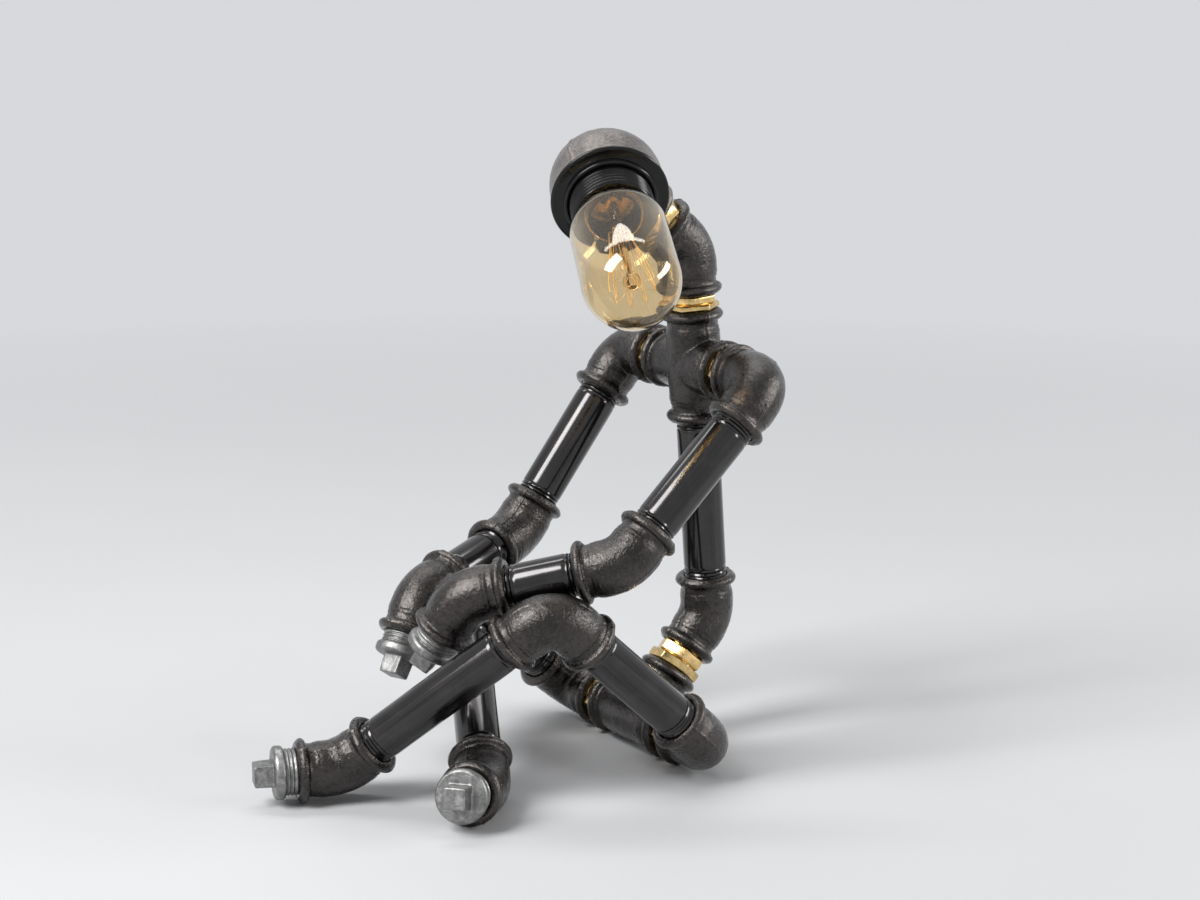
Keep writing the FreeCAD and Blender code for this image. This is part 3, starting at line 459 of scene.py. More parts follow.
def moulded(name, base, gloss, coat=0.0, grain=0.01, metal=0.0, mirror=0.5):
    """Moulded or glazed part: even colour with slight cloud, dust-fine grain and soft gloss."""
    material, tree, shader = new_material(name)
    place = object_place(tree)
    lighter = tuple(min(1.0, value * 1.35 + 0.004) for value in base)
    colour = ramp(tree, noise(tree, place, 180, 4, 0.6), [(0.35, base), (0.75, lighter)])
    tree.links.new(colour, shader.inputs["Base Color"])
    tree.links.new(spread(tree, noise(tree, place, 420, 4, 0.7), gloss, gloss + 0.12),
                   shader.inputs["Roughness"])
    shader.inputs["Metallic"].default_value = metal
    shader.inputs["Specular IOR Level"].default_value = mirror
    shader.inputs["Coat Weight"].default_value = coat
    shader.inputs["Coat Roughness"].default_value = 0.12
    tree.links.new(bump(tree, noise(tree, place, 1600, 2, 0.7), grain, 0.5), shader.inputs["Normal"])
    return material


def tinted_glass(name, tint, ripple=0.02, polish=0.01, index=1.47):
    """Clear blown glass with a warm tint and the faintest ripple."""
    material, tree, shader = new_material(name)
    place = object_place(tree)
    paler = tuple(min(1.0, value * 1.06) for value in tint)
    colour = ramp(tree, noise(tree, place, 40, 2), [(0.3, tint), (0.7, paler)])
    tree.links.new(colour, shader.inputs["Base Color"])
    shader.inputs["Transmission Weight"].default_value = 1.0
    shader.inputs["Roughness"].default_value = polish
    shader.inputs["IOR"].default_value = index
    tree.links.new(bump(tree, noise(tree, place, 60, 1), ripple, 0.3), shader.inputs["Normal"])
    return material


def cord_rubber(name):
    """Matt black flex and grommet."""
    return moulded(name, (0.02, 0.02, 0.021), 0.55, 0.0, 0.02)


IRON = cast_iron("lacquered_cast_iron", (0.013, 0.011, 0.010), (0.056, 0.048, 0.043),
                 (0.24, 0.185, 0.15), 0.2, 0.26)
# The head takes the same lacquered iron in paler colours: painted light standing for the lamps' light on its dome.
HEAD_IRON_PAINTED_LIGHTER = cast_iron("head_cast_iron_painted_lighter", (0.075, 0.066, 0.060), (0.24, 0.212, 0.194),
                      (0.42, 0.36, 0.32), 0.3, 0.32)
BRASS = polished_brass("polished_brass", (0.80, 0.58, 0.26), 0.2)
SHELL_BRASS = polished_brass("drawn_brass", (0.78, 0.60, 0.32), 0.26)
ZINC = galvanised("galvanised_zinc")
HOLDER_BLACK = moulded("black_moulding", (0.004, 0.004, 0.0045), 0.12, 0.0, 0.003, 0.0, 0.3)
PORCELAIN = moulded("glazed_porcelain", (0.72, 0.70, 0.64), 0.18, 0.5, 0.004)
BASE_GLASS = moulded("black_base_glass", (0.012, 0.012, 0.014), 0.12, 0.5, 0.004)
SOLDER = moulded("solder", (0.55, 0.55, 0.56), 0.3, 0.0, 0.05, 1.0)
AMBER_GLASS = tinted_glass("amber_glass", (0.91, 0.785, 0.56))
STEM_GLASS = tinted_glass("stem_glass", (0.95, 0.80, 0.54), 0.3, 0.06, 1.3)
FILAMENT_WIRE = moulded("filament_wire", (0.86, 0.55, 0.20), 0.25, 0.0, 0.004, 1.0)
HOOK_WIRE = moulded("hook_wire", (0.66, 0.52, 0.32), 0.28, 0.0, 0.004, 1.0)
RUBBER = cord_rubber("cord_rubber")


# Castings: the fitting's own solid with a fine skin, softened corners, a seam and an uneven surface.

def cloud_texture(name, size):
    """Soft lumps of the given size in mm."""
    texture = bpy.data.textures.new(name, "CLOUDS")
    texture.noise_scale = size * MM
    texture.noise_depth = 2
    return texture


LUMPS = cloud_texture("casting_lumps", 5.0)
SAND = cloud_texture("casting_sand", 1.3)


def displace(piece, texture, depth):
    """Push a piece's surface in and out by a texture."""
    push = piece.modifiers.new("uneven", "DISPLACE")
    push.texture = texture
    push.texture_coords = "LOCAL"
    push.mid_level = 0.5
    push.strength = depth * MM


def nearest_on(point, middle, ways):
    """Nearest point of a fitting's centre lines."""
    best = middle
    for way in ways:
        height = max(0.0, (point - middle).dot(way))
        spot = middle + way * height
        if (point - spot).length < (point - best).length:
            best = spot
    return best


def raise_seam(piece, middle, ways, normal):
    """Parting seam: the outer skin stands proud along the plane of the fitting's axes."""
    def on_seam(vertex):
        if abs((vertex.co - middle).dot(normal)) > SEAM_WIDTH * MM:
            return False
        core = nearest_on(vertex.co, middle, ways)
        outward = vertex.co - core
        return outward.length > SEAM_SKIN * MM and outward.dot(vertex.normal) > 0.5 * outward.length
    select_where(piece, on_seam)
    bpy.ops.transform.shrink_fatten(value=SEAM_HEIGHT * MM)
    leave()


def bead_ring(middle, way, reach):
    """Round of a rolled bead, a little proud of the port's own."""
    place = middle + way * (reach - BEAD_BACK) * MM
    bpy.ops.mesh.primitive_torus_add(major_segments=72, minor_segments=20, major_radius=BEAD_RING * MM,
                                     minor_radius=BEAD_ROUND * MM)
    ring = bpy.context.active_object
    edit(ring)
    bpy.ops.transform.resize(value=(1, 1, BEAD_FLATNESS), center_override=(0, 0, 0))
    leave()
    return settle(ring, frame_on(place, way))


def draw_in_neck(piece, middle, way, reach, near, far, depth):
    """Narrow the port's outer skin behind its bead, over the given stretch back from its face."""
    inner, outer = NECK_SKIN

    def on_neck(vertex):
        offset = vertex.co - middle
        height = offset.dot(way)
        radius = (offset - way * height).length
        return (reach - far) * MM < height < (reach - near) * MM and inner * MM < radius < outer * MM
    select_where(piece, on_neck)
    bpy.ops.transform.shrink_fatten(value=-depth * MM)
    leave()


def casting(node, middle, ports, normal, material, voxel=0.62):
    """Fine-skinned casting that stands for a fitting's node. Ports are (direction, reach) pairs."""
    piece = copy_of(node, node + "_casting")
    rings = [bead_ring(middle, way, reach) for way, reach in ports if reach]
    pick(piece)
    for ring in rings:
        ring.select_set(True)
    bpy.context.view_layer.objects.active = piece
    bpy.ops.object.join()
    skin = piece.modifiers.new("skin", "REMESH")
    skin.mode = "VOXEL"
    skin.voxel_size = voxel * MM
    apply_modifiers(piece)
    for way, reach in ports:
        if reach:
            for near, far, depth in DRAWN_IN:
                draw_in_neck(piece, middle, way, reach, near, far, depth)
    soften = piece.modifiers.new("soften", "SMOOTH")
    soften.factor = 0.5
    soften.iterations = 2
    apply_modifiers(piece)
    raise_seam(piece, middle, [way for way, reach in ports], normal)
    displace(piece, LUMPS, 0.3)
    displace(piece, SAND, 0.24)
    apply_modifiers(piece)
    smooth(piece, 80)
    return dress(piece, node, material)


def elbow_parts():
    """Each elbow's node, its centre, its ports' reach and the two directions of its ports."""
    parts = []
    for side in SIDES:
        outward = ACROSS if side == "left" else -ACROSS
        arm = joint_way("elbow_turn_" + side)
        forearm = joint_way("hand_turn_" + side)
        thigh = joint_way("knee_turn_" + side)
        shin = joint_way("foot_turn_" + side)
        hand = joint_point("hand_turn_" + side)
        foot = joint_point("foot_turn_" + side)
        finger = (node_middle("hand_plug_" + side) - hand).normalized()
        toe = (node_middle("foot_plug_" + side) - foot).normalized()
        shoulder = joint_point("shoulder_turn_" + side)
        parts += [("shoulder_elbow_" + side, shoulder, FULL_REACH, -outward, arm),
                  ("arm_elbow_" + side, joint_point("elbow_turn_" + side), HALF_REACH, -arm, forearm),
                  ("hand_elbow_" + side, hand, HALF_REACH, -forearm, finger),
                  ("hip_elbow_" + side, joint_point("hip_turn_" + side), FULL_REACH, -outward, thigh),
                  ("knee_elbow_" + side, joint_point("knee_turn_" + side), FULL_REACH, -thigh, shin),
                  ("foot_elbow_" + side, foot, HALF_REACH, -shin, toe)]
    return parts


def make_castings():
    """All fittings of the body, each with its seam in the plane of its ports."""
    for node, middle, reach, first, second in elbow_parts():
        casting(node, middle, [(first, reach), (second, reach)], first.cross(second).normalized(), IRON)
    spine = joint_way("neck_turn")
    nape = joint_way("head_turn")
    branch = branch_way()
    chest = chest_point()
    neck = joint_point("head_turn") - nape * (HALF_REACH + HEAD_GAP) * MM
    waist = chest - spine * (span("spine_pipe", chest, -spine)[1] - THREAD_GRIP * MM + HALF_REACH * MM)
    casting("pelvis_tee", hip_point(), [(way, FULL_REACH) for way in (ACROSS, -ACROSS, branch)],
            ACROSS.cross(branch).normalized(), IRON)
    casting("torso_cross", chest, [(way, FULL_REACH) for way in (ACROSS, -ACROSS, spine, -spine)],
            ACROSS.cross(spine).normalized(), IRON)
    casting("neck_elbow", neck, [(-spine, HALF_REACH), (nape, HALF_REACH)], ACROSS, IRON)
    casting("waist_elbow", waist, [(spine, HALF_REACH), (-branch, HALF_REACH)], ACROSS, IRON)


# Pipes: turned tubes with the last turns of their threads showing at the fittings.

def thread_turns(start, way, count):
    """Outline points of the thread's last turns, from a height outwards."""
    points = []
    for turn in range(count):
        height = start + way * THREAD_PITCH * turn
        depth = 0.75 - 0.2 * turn
        points += [(PIPE_RADIUS - 0.05, height), (PIPE_RADIUS - depth, height + way * THREAD_PITCH * 0.45),
                   (PIPE_RADIUS - 0.05, height + way * THREAD_PITCH * 0.9)]
    return points


def pipe_piece(node, start, way, low_face, high_face):
    """Pipe between two fitting faces, with the last turns of its thread outside each."""
    low, high = (value / MM for value in span(node, start, way))
    outline = [(PIPE_BORE, low), (PIPE_RADIUS - 0.4, low), (PIPE_RADIUS, low + 0.4)]
    outline += thread_turns(low_face - 0.6, 1, 3)
    outline += [(PIPE_RADIUS, low_face + THREAD_LENGTH), (PIPE_RADIUS, high_face - THREAD_LENGTH)]
    outline += thread_turns(high_face + 0.6, -1, 3)[::-1]
    outline += [(PIPE_RADIUS, high - 0.4), (PIPE_RADIUS - 0.4, high), (PIPE_BORE, high), (PIPE_BORE, low)]
    piece = lathe(node + "_tube", outline, 72)
    placement = frame_on(start, way)
    settle(piece, placement)
    smooth(piece, 25)
    return dress(piece, node, pipe_lacquer(node + "_lacquer", placement))


def make_pipes():
    """All pipes, each from the centre of the fitting before it."""
    spine = joint_way("neck_turn")
    chest = chest_point()
    high = span("spine_pipe", chest, -spine)[1] / MM
    pipe_piece("spine_pipe", chest, -spine, FULL_REACH, high - THREAD_GRIP)
    for side in SIDES:
        arm = joint_way("elbow_turn_" + side)
        forearm = joint_way("hand_turn_" + side)
        thigh = joint_way("knee_turn_" + side)
        shin = joint_way("foot_turn_" + side)
        runs = [("upper_arm_pipe_", "shoulder_turn_", arm, FULL_REACH),
                ("forearm_pipe_", "elbow_turn_", forearm, HALF_REACH),
                ("thigh_pipe_", "hip_turn_", thigh, FULL_REACH),
                ("shin_pipe_", "knee_turn_", shin, FULL_REACH)]
        for stem, joint, way, face in runs:
            start = joint_point(joint + side)
            high = span(stem + side, start, way)[1] / MM
            pipe_piece(stem + side, start, way, face, high - THREAD_GRIP)


# Plugs: galvanised, with thread turns, a rolled flange and a tapered square head.

PLUG_THREAD = 5.2
SQUARE_HEIGHT = 9.2
SQUARE_WIDTH = 11.0
SQUARE_TAPER = 0.93


def plug_piece(node, start, way, side):
    """Square-headed plug. Heights are from the fitting's centre, and HALF_REACH is its face."""
    low, high = (value / MM for value in span(node, start, way))
    face = HALF_REACH + 0.15
    flange_low = face + PLUG_THREAD
    flange_high = high - SQUARE_HEIGHT
    outline = [(6.0, low), (PIPE_RADIUS - 0.6, low), (PIPE_RADIUS, low + 0.6), (PIPE_RADIUS, face - 0.4)]
    for turn in range(3):
        height = face + 0.2 + THREAD_PITCH * turn
        outline += [(PIPE_RADIUS + 0.6, height + 0.25), (PIPE_RADIUS + 0.6, height + 0.75),
                    (PIPE_RADIUS - 0.35, height + 1.25), (PIPE_RADIUS - 0.35, height + 1.55)]
    outline += [(11.6, flange_low + 0.4), (12.5, flange_low + 1.1), (12.8, flange_low + 1.9),
                (12.8, flange_high - 1.4), (12.45, flange_high - 0.6), (11.6, flange_high),
                (7.0, flange_high + 0.05), (0.01, flange_high + 0.05), (0.01, low + 9), (6.0, low + 9),
                (6.0, low)]
    piece = lathe(node + "_body", outline, 96)
    bpy.ops.mesh.primitive_cube_add(size=1, location=(0, 0, 0))
    head = bpy.context.active_object
    edit(head)
    tall = high - flange_high + 1.0
    bpy.ops.transform.resize(value=(SQUARE_WIDTH * MM, SQUARE_WIDTH * MM, tall * MM))
    bpy.ops.transform.translate(value=(0, 0, (high - tall / 2) * MM))
    leave()
    select_where(head, lambda vertex: vertex.co.z > (high - 1) * MM)
    bpy.ops.transform.resize(value=(SQUARE_TAPER, SQUARE_TAPER, 1))
    leave()
    soft_edges(head, 0.5, 3, 30)
    pick(head)
    piece.select_set(True)
    bpy.context.view_layer.objects.active = piece
    bpy.ops.object.join()
    skin = piece.modifiers.new("skin", "REMESH")
    skin.mode = "VOXEL"
    skin.voxel_size = 0.42 * MM
    soften = piece.modifiers.new("soften", "SMOOTH")
    soften.factor = 0.4
    soften.iterations = 1
    apply_modifiers(piece)
    displace(piece, LUMPS, 0.15)
    displace(piece, SAND, 0.14)
    apply_modifiers(piece)
    settle(piece, frame_on(start, way, side))
    smooth(piece, 60)
    return dress(piece, node, ZINC)


def make_plugs():
    """Four end plugs, in the hands and the feet."""
    for side in SIDES:
        for stem, joint in (("hand_plug_", "hand_turn_"), ("foot_plug_", "foot_turn_")):
            start = joint_point(joint + side)
            way = (node_middle(stem + side) - start).normalized()
            plug_piece(stem + side, start, way, flat_side(stem + side, start, way))


def flat_side(node, start, way):
    """Direction of a corner-free side of a plug's square head, from the node's outermost points."""
    high = span(node, start, way)[1]
    tops = [point for point in node_points(node) if (point - start).dot(way) > high - 0.1 * MM]
    corner = max(tops, key=lambda point: (point - start - way * (point - start).dot(way)).length)
    outward = corner - start - way * (corner - start).dot(way)
    return Matrix.Rotation(math.radians(45), 3, way) @ outward.normalized()


# Brass hexagons: turned spigots with a six-sided body between them.

def corner_side(node, start, way):
    """Direction of a node's outermost point, square to its axis."""
    offsets = [point - start - way * (point - start).dot(way) for point in node_points(node)]
    return max(offsets, key=lambda offset: offset.length).normalized()


def hexagon(name, flats, low, high):
    """Six-sided turned body with its corners broken at both faces and its edges rounded."""
    corner = flats / math.sqrt(3)
    bore = PIPE_RADIUS - 1.5
    outline = [(bore, low), (corner * 0.93, low), (corner, low + 0.7), (corner, high - 0.7),
               (corner * 0.93, high), (bore, high), (bore, low)]
    piece = lathe(name, outline, 6)
    soft_edges(piece, 0.28, 2, 20)
    return piece


def threaded_spigots(name, low, high, hex_low, hex_high):
    """Round tube of a nipple, with thread turns each side of its hexagon."""
    bore = 7.0
    outline = [(bore, low), (PIPE_RADIUS - 0.6, low), (PIPE_RADIUS - 0.1, low + 0.6)]
    outline += thread_turns(hex_low - 0.1, -1, 2)[::-1]
    outline += [(PIPE_RADIUS - 0.4, hex_low + 0.3), (PIPE_RADIUS - 0.4, hex_high - 0.3)]
    outline += thread_turns(hex_high + 0.1, 1, 2)
    outline += [(PIPE_RADIUS - 0.1, high - 0.6), (PIPE_RADIUS - 0.6, high), (bore, high), (bore, low)]
    return lathe(name, outline, 72)


def nipple(node, way, gap, nut=0.0):
    """Hex nipple about its own middle. The gap between the fittings holds the hexagon and any nut."""
    start = node_middle(node)
    low, high = (value / MM for value in span(node, start, way))
    start = start + way * (low + high) / 2 * MM
    half = (high - low) / 2
    hex_low = -gap / 2 + nut + 0.15
    hex_high = gap / 2 - 0.15
    body = threaded_spigots(node + "_body", -half, half, hex_low, hex_high)
    head = hexagon(node + "_hexagon", NIPPLE_FLATS, hex_low, hex_high)
    pick(head)
    body.select_set(True)
    bpy.context.view_layer.objects.active = body
    bpy.ops.object.join()
    settle(body, frame_on(start, way, corner_side(node, start, way)))
    smooth(body, 30)
    return dress(body, node, BRASS)


def nut_piece(node, way):
    """Thin locknut: a hexagon with a bore."""
    start = node_middle(node)
    low, high = (value / MM for value in span(node, start, way))
    piece = hexagon(node + "_nut", NUT_FLATS, low, high)
    settle(piece, frame_on(start, way, corner_side(node, start, way)))
    smooth(piece, 30)
    return dress(piece, node, BRASS)


def branch_way():
    """Direction in which the hip tee's branch points."""
    return (node_middle("waist_nipple") - hip_point()).normalized()


def make_brass():
    """Hex nipples and locknuts between the fittings."""
    spine = joint_way("neck_turn")
    nipple("waist_nipple", branch_way(), WAIST_GAP, WAIST_NUT_SEAT)
    nipple("neck_nipple", spine, NECK_GAP, NECK_NUT_SEAT)
    nipple("head_nipple", joint_way("head_turn"), HEAD_GAP)
    nut_piece("waist_locknut", branch_way())
    nut_piece("neck_locknut", spine)
    for side in SIDES:
        outward = ACROSS if side == "left" else -ACROSS
        nipple("shoulder_nipple_" + side, outward, SHOULDER_GAP)
        nipple("hip_nipple_" + side, outward, HIP_GAP)


# Head, holder and bulb.

MOUTH = joint_way("bulb_unscrew")
HEAD = joint_point("bulb_unscrew")
HEAD_PLACE = frame_on(HEAD, MOUTH)


def make_head():
    """Domed head casting with a seam over its crown."""
    nape = joint_way("head_turn")
    reach = (HEAD - joint_point("head_turn")).length / MM
    # The head's iron is painted lighter than the body's: painted light on the dome.
    casting("head_elbow", HEAD, [(-nape, reach), (MOUTH, 0)], nape.cross(MOUTH).normalized(),
            HEAD_IRON_PAINTED_LIGHTER, 0.7)


def make_holder():
    """Black holder: barrel, flange with a rounded edge, threaded skirt and the bore for the bulb."""
    barrel, flange, skirt, bore = 20.95, 28.0, 19.8, 16.0
    low, high = (value / MM for value in span("lamp_holder", HEAD, MOUTH))
    seat = 30.85
    face = 33.3
    floor = low + 3.0
    outline = [(5.0, low), (barrel, low), (barrel, seat), (flange - 0.6, seat)]
    outline += arc_points((flange - 1.2, seat + 1.25), 1.2, -80, 80, 8)
    outline += [(flange - 1.8, face), (skirt + 0.2, face), (skirt - 0.2, face + 0.4),
                (skirt - 0.2, face + 3.6)]
    for turn in range(5):
        foot = face + 3.9 + turn * 2.5
        outline += [(skirt - 1.1, foot), (skirt - 0.2, foot + 0.5), (skirt, foot + 0.95),
                    (skirt - 0.2, foot + 1.4), (skirt - 1.1, foot + 1.9)]
    outline += [(skirt - 0.7, high - 0.5), (skirt - 1.1, high), (bore + 0.8, high), (bore, high - 0.8),
                (bore, floor), (5.0, floor), (5.0, low)]
    piece = lathe("lamp_holder_moulding", outline, 96)
    settle(piece, HEAD_PLACE)
    smooth(piece, 50)
    dress(piece, "lamp_holder", HOLDER_BLACK)
    make_skirt_ring(skirt + 0.05, 22.3)


def make_skirt_ring(inner, outer):
    """Screw ring with a rounded rim."""
    low, high = (value / MM for value in span("skirt_ring", HEAD, MOUTH))
    outline = [(inner, low), (outer - 0.5, low), (outer, low + 0.5), (outer, high - 0.9),
               (outer - 0.25, high - 0.3), (outer - 0.8, high), (inner + 0.4, high),
               (inner, high - 0.4), (inner, low)]
    piece = lathe("skirt_ring_moulding", outline, 96)
    settle(piece, HEAD_PLACE)
    smooth(piece, 50)
    dress(piece, "skirt_ring", HOLDER_BLACK)


def arc_points(centre, radius, start, stop, steps):
    """Points on an arc in (radius, height), by angle from the outward direction."""
    points = []
    for step in range(steps + 1):
        turn = math.radians(start + (stop - start) * step / steps)
        points.append((max(centre[0] + radius * math.cos(turn), 0.01), centre[1] + radius * math.sin(turn)))
    return points


def glass_outline(low, high, neck, outer, shoulder_from, shoulder):
    """Neck, shoulder, straight side and round end of the bulb."""
    points = [(neck, low), (neck, shoulder_from)]
    for step in range(1, 13):
        share = step / 12
        ease = math.sin(share * math.pi / 2)
        points.append((neck + (outer - neck) * ease, shoulder_from + shoulder * share))
    points += arc_points((0, high - outer), outer, 0, 90, 18)
    return points


def wire(name, points, radius, node, material, replace=False):
    """Round wire through points given in mm on the mouth axis."""
    curve = bpy.data.curves.new(name, "CURVE")
    curve.dimensions = "3D"
    curve.bevel_depth = radius * MM
    curve.bevel_resolution = 2
    curve.resolution_u = 3
    line = curve.splines.new("NURBS")
    line.points.add(len(points) - 1)
    for knot, point in zip(line.points, points):
        knot.co = (*(Vector(point) * MM), 1)
    line.order_u = 3
    line.use_endpoint_u = True
    piece = bpy.data.objects.new(name, curve)
    bpy.context.scene.collection.objects.link(piece)
    pick(piece)
    bpy.ops.object.convert(target="MESH")
    piece = bpy.context.active_object
    settle(piece, HEAD_PLACE)
    smooth(piece, 60)
    return dress(piece, node, material, replace)


STEM_FOOT = span("bulb_stem", HEAD, MOUTH)[0] / MM
STEM_TIP = span("bulb_stem", HEAD, MOUTH)[1] / MM + 5.0
CAGE_LOW = span("bulb_filament", HEAD, MOUTH)[0] / MM
CAGE_HIGH = STEM_TIP + 1.0
CAGE_LEGS = 9
GLASS_SHOULDER = 13.0


def make_stem():
    """Glass stem: hollow flare, flattened press, rod and round button."""
    foot, end = STEM_FOOT, STEM_TIP
    button = 4.0
    press = foot + 12.0
    outline = [(11.4, foot), (10.2, foot + 2.4), (7.2, foot + 6.4), (4.8, press), (4.6, press + 7.0),
               (2.6, press + 9.0), (1.9, press + 10.5), (1.7, end - button * 2)]
    outline += arc_points((0, end - button), button, -58, 90, 12)
    outline += [(0.01, press - 2.5), (3.4, press - 3.2), (6.2, foot + 5.4), (9.4, foot + 1.6),
                (10.7, foot), (11.4, foot)]
    piece = lathe("stem_glass", outline, 48)
    select_where(piece, lambda vertex: (press - 1) * MM < vertex.co.z < (press + 8) * MM)
    bpy.ops.transform.resize(value=(1.25, 0.5, 1), center_override=(0, 0, 0))
    leave()
    settle(piece, HEAD_PLACE)
    smooth(piece, 60)
    return dress(piece, "bulb_stem", STEM_GLASS)


def ring_spot(radius, height, leg, shift=0.0):
    """Spot on a ring of hooks round the stem."""
    turn = math.radians((leg + shift) * 360 / CAGE_LEGS)
    return (radius * math.cos(turn), radius * math.sin(turn), height)


def make_cage():
    """Filament in long hairpins from the upper hooks to the lower ones, with hooks and lead-in wires."""
    upper, lower = 5.2, 10.2
    path = []
    for leg in range(CAGE_LEGS):
        if leg:
            path += [ring_spot(upper - 0.2, CAGE_LOW + 1.2, leg, -0.12),
                     ring_spot(upper, CAGE_LOW, leg, -0.04)]
        path += [ring_spot(upper, CAGE_LOW, leg, 0.04), ring_spot(upper + 0.6, CAGE_LOW + 8, leg, 0.12)]
        if leg < CAGE_LEGS - 1:
            path += [ring_spot(lower, CAGE_HIGH - 7, leg, 0.42),
                     ring_spot(lower + 0.3, CAGE_HIGH, leg, 0.46),
                     ring_spot(lower + 0.3, CAGE_HIGH, leg, 0.54),
                     ring_spot(lower, CAGE_HIGH - 7, leg, 0.58),
                     ring_spot(upper + 0.6, CAGE_LOW + 8, leg, 0.86)]
    wire("filament_cage", path, 0.2, "bulb_filament", FILAMENT_WIRE, True)
    for leg in range(CAGE_LEGS):
        spots = [ring_spot(1.2, CAGE_LOW - 2.5, leg), ring_spot(2.6, CAGE_LOW - 1.4, leg),
                 ring_spot(upper - 0.3, CAGE_LOW - 0.5, leg), ring_spot(upper + 0.4, CAGE_LOW + 0.3, leg)]
        wire("upper_hook_%d" % leg, spots, 0.12, "filament_hooks", HOOK_WIRE, leg == 0)
    for leg in range(CAGE_LEGS - 1):
        spots = [ring_spot(2.6, STEM_TIP - 4.0, leg, 0.5), ring_spot(5.0, CAGE_HIGH + 0.2, leg, 0.5),
                 ring_spot(lower + 0.2, CAGE_HIGH + 0.4, leg, 0.5),
                 ring_spot(lower + 0.7, CAGE_HIGH - 0.4, leg, 0.5)]
        wire("lower_hook_%d" % leg, spots, 0.12, "filament_hooks", HOOK_WIRE)
    for side, leg in ((1, 0), (-1, CAGE_LEGS - 1)):
        spots = [(side * 2.4, 0, STEM_FOOT - 2), (side * 2.6, 0, STEM_FOOT + 10),
                 (side * 2.9, 0, STEM_FOOT + 18), ring_spot(upper * 0.7, CAGE_LOW - 1.5, leg),
                 ring_spot(upper, CAGE_LOW, leg)]
        wire("lead_in_wire_%d" % (side + 2), spots, 0.22, "filament_hooks", HOOK_WIRE)


def make_bulb_glass():
    """Blown glass envelope with an even wall."""
    low, high = (value / MM for value in span("bulb_glass", HEAD, MOUTH))
    neck, body, wall = 12.5, 22.7, 0.9
    shoulder_from = span("bulb_cap", HEAD, MOUTH)[1] / MM
    outside = glass_outline(low, high, neck, body, shoulder_from, GLASS_SHOULDER)
    inside = glass_outline(low, high - wall, neck - wall, body - wall, shoulder_from + wall * 0.4,
                           GLASS_SHOULDER)
    piece = lathe("bulb_glass_envelope", outside + inside[::-1] + [outside[0]], 96)
    settle(piece, HEAD_PLACE)
    smooth(piece, 60)
    return dress(piece, "bulb_glass", AMBER_GLASS)


make_castings()
make_pipes()
make_plugs()
make_brass()
make_head()
make_holder()
make_bulb_glass()
make_stem()
make_cage()

# Pieces that keep the shape of their solid and only take a material.

PLAIN = {"cable_grommet": RUBBER, "holder_core": PORCELAIN, "screw_shell": SHELL_BRASS,
         "centre_contact": SHELL_BRASS, "bulb_cap": SHELL_BRASS, "bulb_base": BASE_GLASS,
         "bulb_tip": SOLDER, "pelvis_lead": RUBBER, "torso_lead": RUBBER, "neck_lead": RUBBER,
         "head_lead": RUBBER}
for node, material in PLAIN.items():
    piece = frame["nodes"][node]
    piece.data.materials.clear()
    piece.data.materials.append(material)


# Studio: pale floor, soft lamps and the camera.

BACKDROP = (0.68, 0.69, 0.71, 1)
WORLD_LIGHT = 0.3


def seen_directly(tree, seen, unseen):
    """Backdrop's strength: one value where it is seen, also in metal and glass, another elsewhere."""
    path = tree.nodes.new("ShaderNodeLightPath")
    looked = combine(tree, path.outputs["Is Camera Ray"], path.outputs["Is Transmission Ray"], "MAXIMUM")
    looked = combine(tree, looked, path.outputs["Is Glossy Ray"], "MAXIMUM")
    return spread(tree, looked, unseen, seen, 0.0, 1.0)


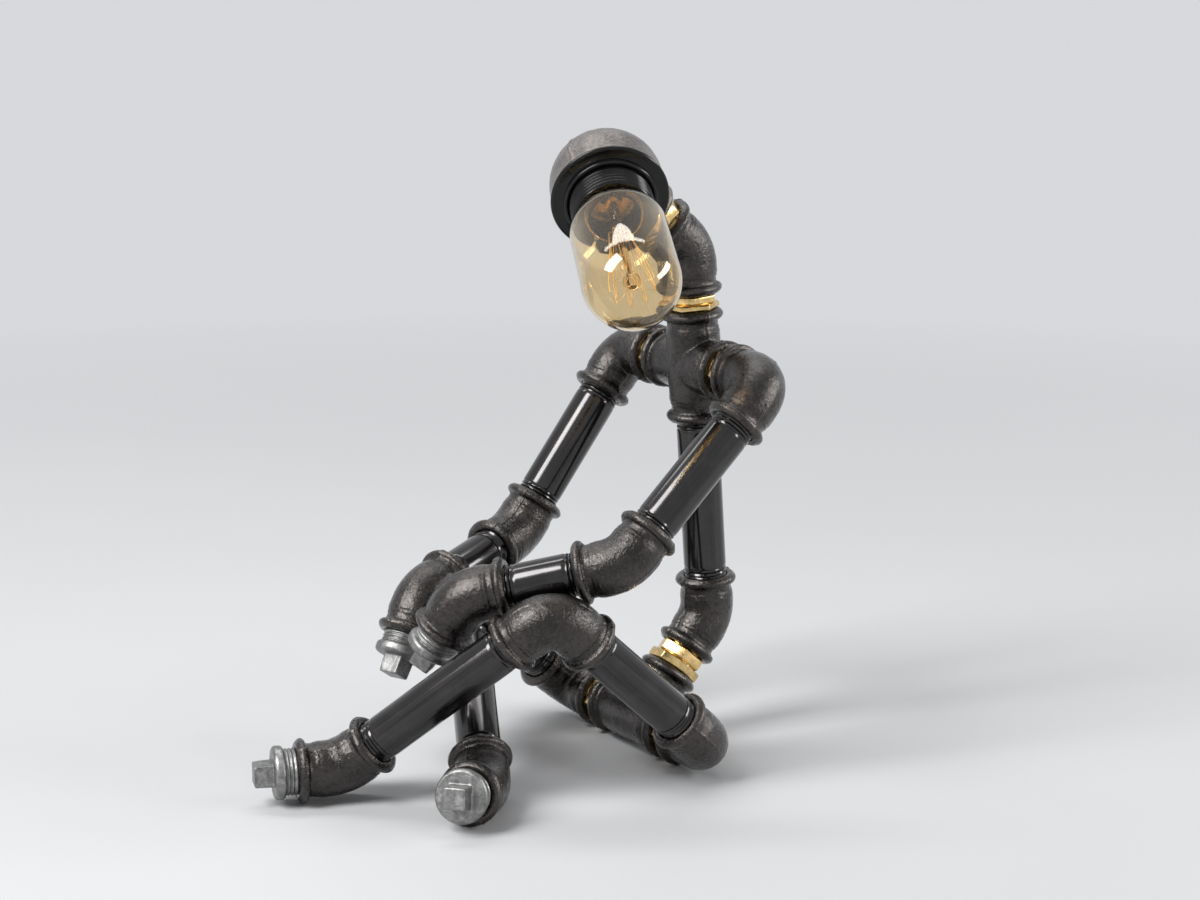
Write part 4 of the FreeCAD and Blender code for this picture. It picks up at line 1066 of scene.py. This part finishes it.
def make_floor():
    """Plain pale table top that fades into the background away from the figure."""
    bpy.ops.mesh.primitive_plane_add(size=60, location=(0, 0, -0.0002))
    floor = bpy.context.active_object
    floor.name = "table_top"
    material, tree, shader = new_material("pale_table")
    place = object_place(tree)
    cloud = noise(tree, place, 3, 3)
    tree.links.new(ramp(tree, cloud, [(0.2, (0.55, 0.555, 0.565)), (0.8, (0.58, 0.585, 0.592))]),
                   shader.inputs["Base Color"])
    shader.inputs["Roughness"].default_value = 0.6
    glow = tree.nodes.new("ShaderNodeEmission")
    glow.inputs["Color"].default_value = BACKDROP
    tree.links.new(seen_directly(tree, 1.0, WORLD_LIGHT), glow.inputs["Strength"])
    distance = tree.nodes.new("ShaderNodeVectorMath")
    distance.operation = "LENGTH"
    tree.links.new(place, distance.inputs[0])
    fade = tree.nodes.new("ShaderNodeMixShader")
    tree.links.new(spread(tree, distance.outputs["Value"], 0, 1, 0.3, 1.5), fade.inputs["Fac"])
    tree.links.new(shader.outputs["BSDF"], fade.inputs[1])
    tree.links.new(glow.outputs["Emission"], fade.inputs[2])
    tree.links.new(fade.outputs["Shader"], tree.nodes["Material Output"].inputs["Surface"])
    floor.data.materials.append(material)


def make_world():
    """Soft even light: pale grey where it is seen, weaker where it only lights."""
    world = bpy.data.worlds.new("studio")
    bpy.context.scene.world = world
    world.use_nodes = True
    tree = world.node_tree
    background = tree.nodes["Background"]
    background.inputs["Color"].default_value = BACKDROP
    tree.links.new(seen_directly(tree, 1.0, WORLD_LIGHT), background.inputs["Strength"])


CAMERA_TURN = Matrix.Rotation(math.radians(CAMERA_YAW), 3, "Z") @ Matrix.Rotation(
    math.radians(90 - CAMERA_PITCH), 3, "X")
RIGHT, TOP, BACK = (CAMERA_TURN @ axis for axis in (ACROSS, Vector((0, 1, 0)), UP))
TARGET = (Vector(cad_box[0]) + Vector(cad_box[1])) / 2


def studio_lamp(name, right, top, back, width, height, power, lean=0):
    """Soft box facing the figure, placed as seen from the camera in metres, and leaning by an angle."""
    place = TARGET + RIGHT * right + TOP * top + BACK * back
    data = bpy.data.lights.new(name, "AREA")
    data.shape = "RECTANGLE"
    data.size = width
    data.size_y = height
    data.energy = power
    lamp = bpy.data.objects.new(name, data)
    bpy.context.scene.collection.objects.link(lamp)
    leaning = math.radians(lean)
    lamp.matrix_world = frame_on(place, place - TARGET, RIGHT * math.cos(leaning) - TOP * math.sin(leaning))
    return lamp


def make_camera():
    """Camera at the photograph's viewpoint."""
    data = bpy.data.cameras.new("camera")
    data.sensor_width = 36
    data.lens = CAMERA_LENS
    data.clip_start = 0.05
    camera = bpy.data.objects.new("camera", data)
    bpy.context.scene.collection.objects.link(camera)
    place = joint_point("neck_turn") + CAMERA_FROM_NECK
    camera.matrix_world = Matrix.Translation(place) @ CAMERA_TURN.to_4x4()
    bpy.context.scene.camera = camera


make_floor()
make_world()
studio_lamp("key", -1.35, 1.3, 1.2, 0.85, 1.5, 62, 41)
studio_lamp("side", 1.9, 0.6, 0.3, 0.35, 1.7, 24)
studio_lamp("overhead", -0.35, 1.95, -0.4, 2.2, 0.35, 15)
make_camera()
bpy.context.scene.view_settings.view_transform = "Standard"
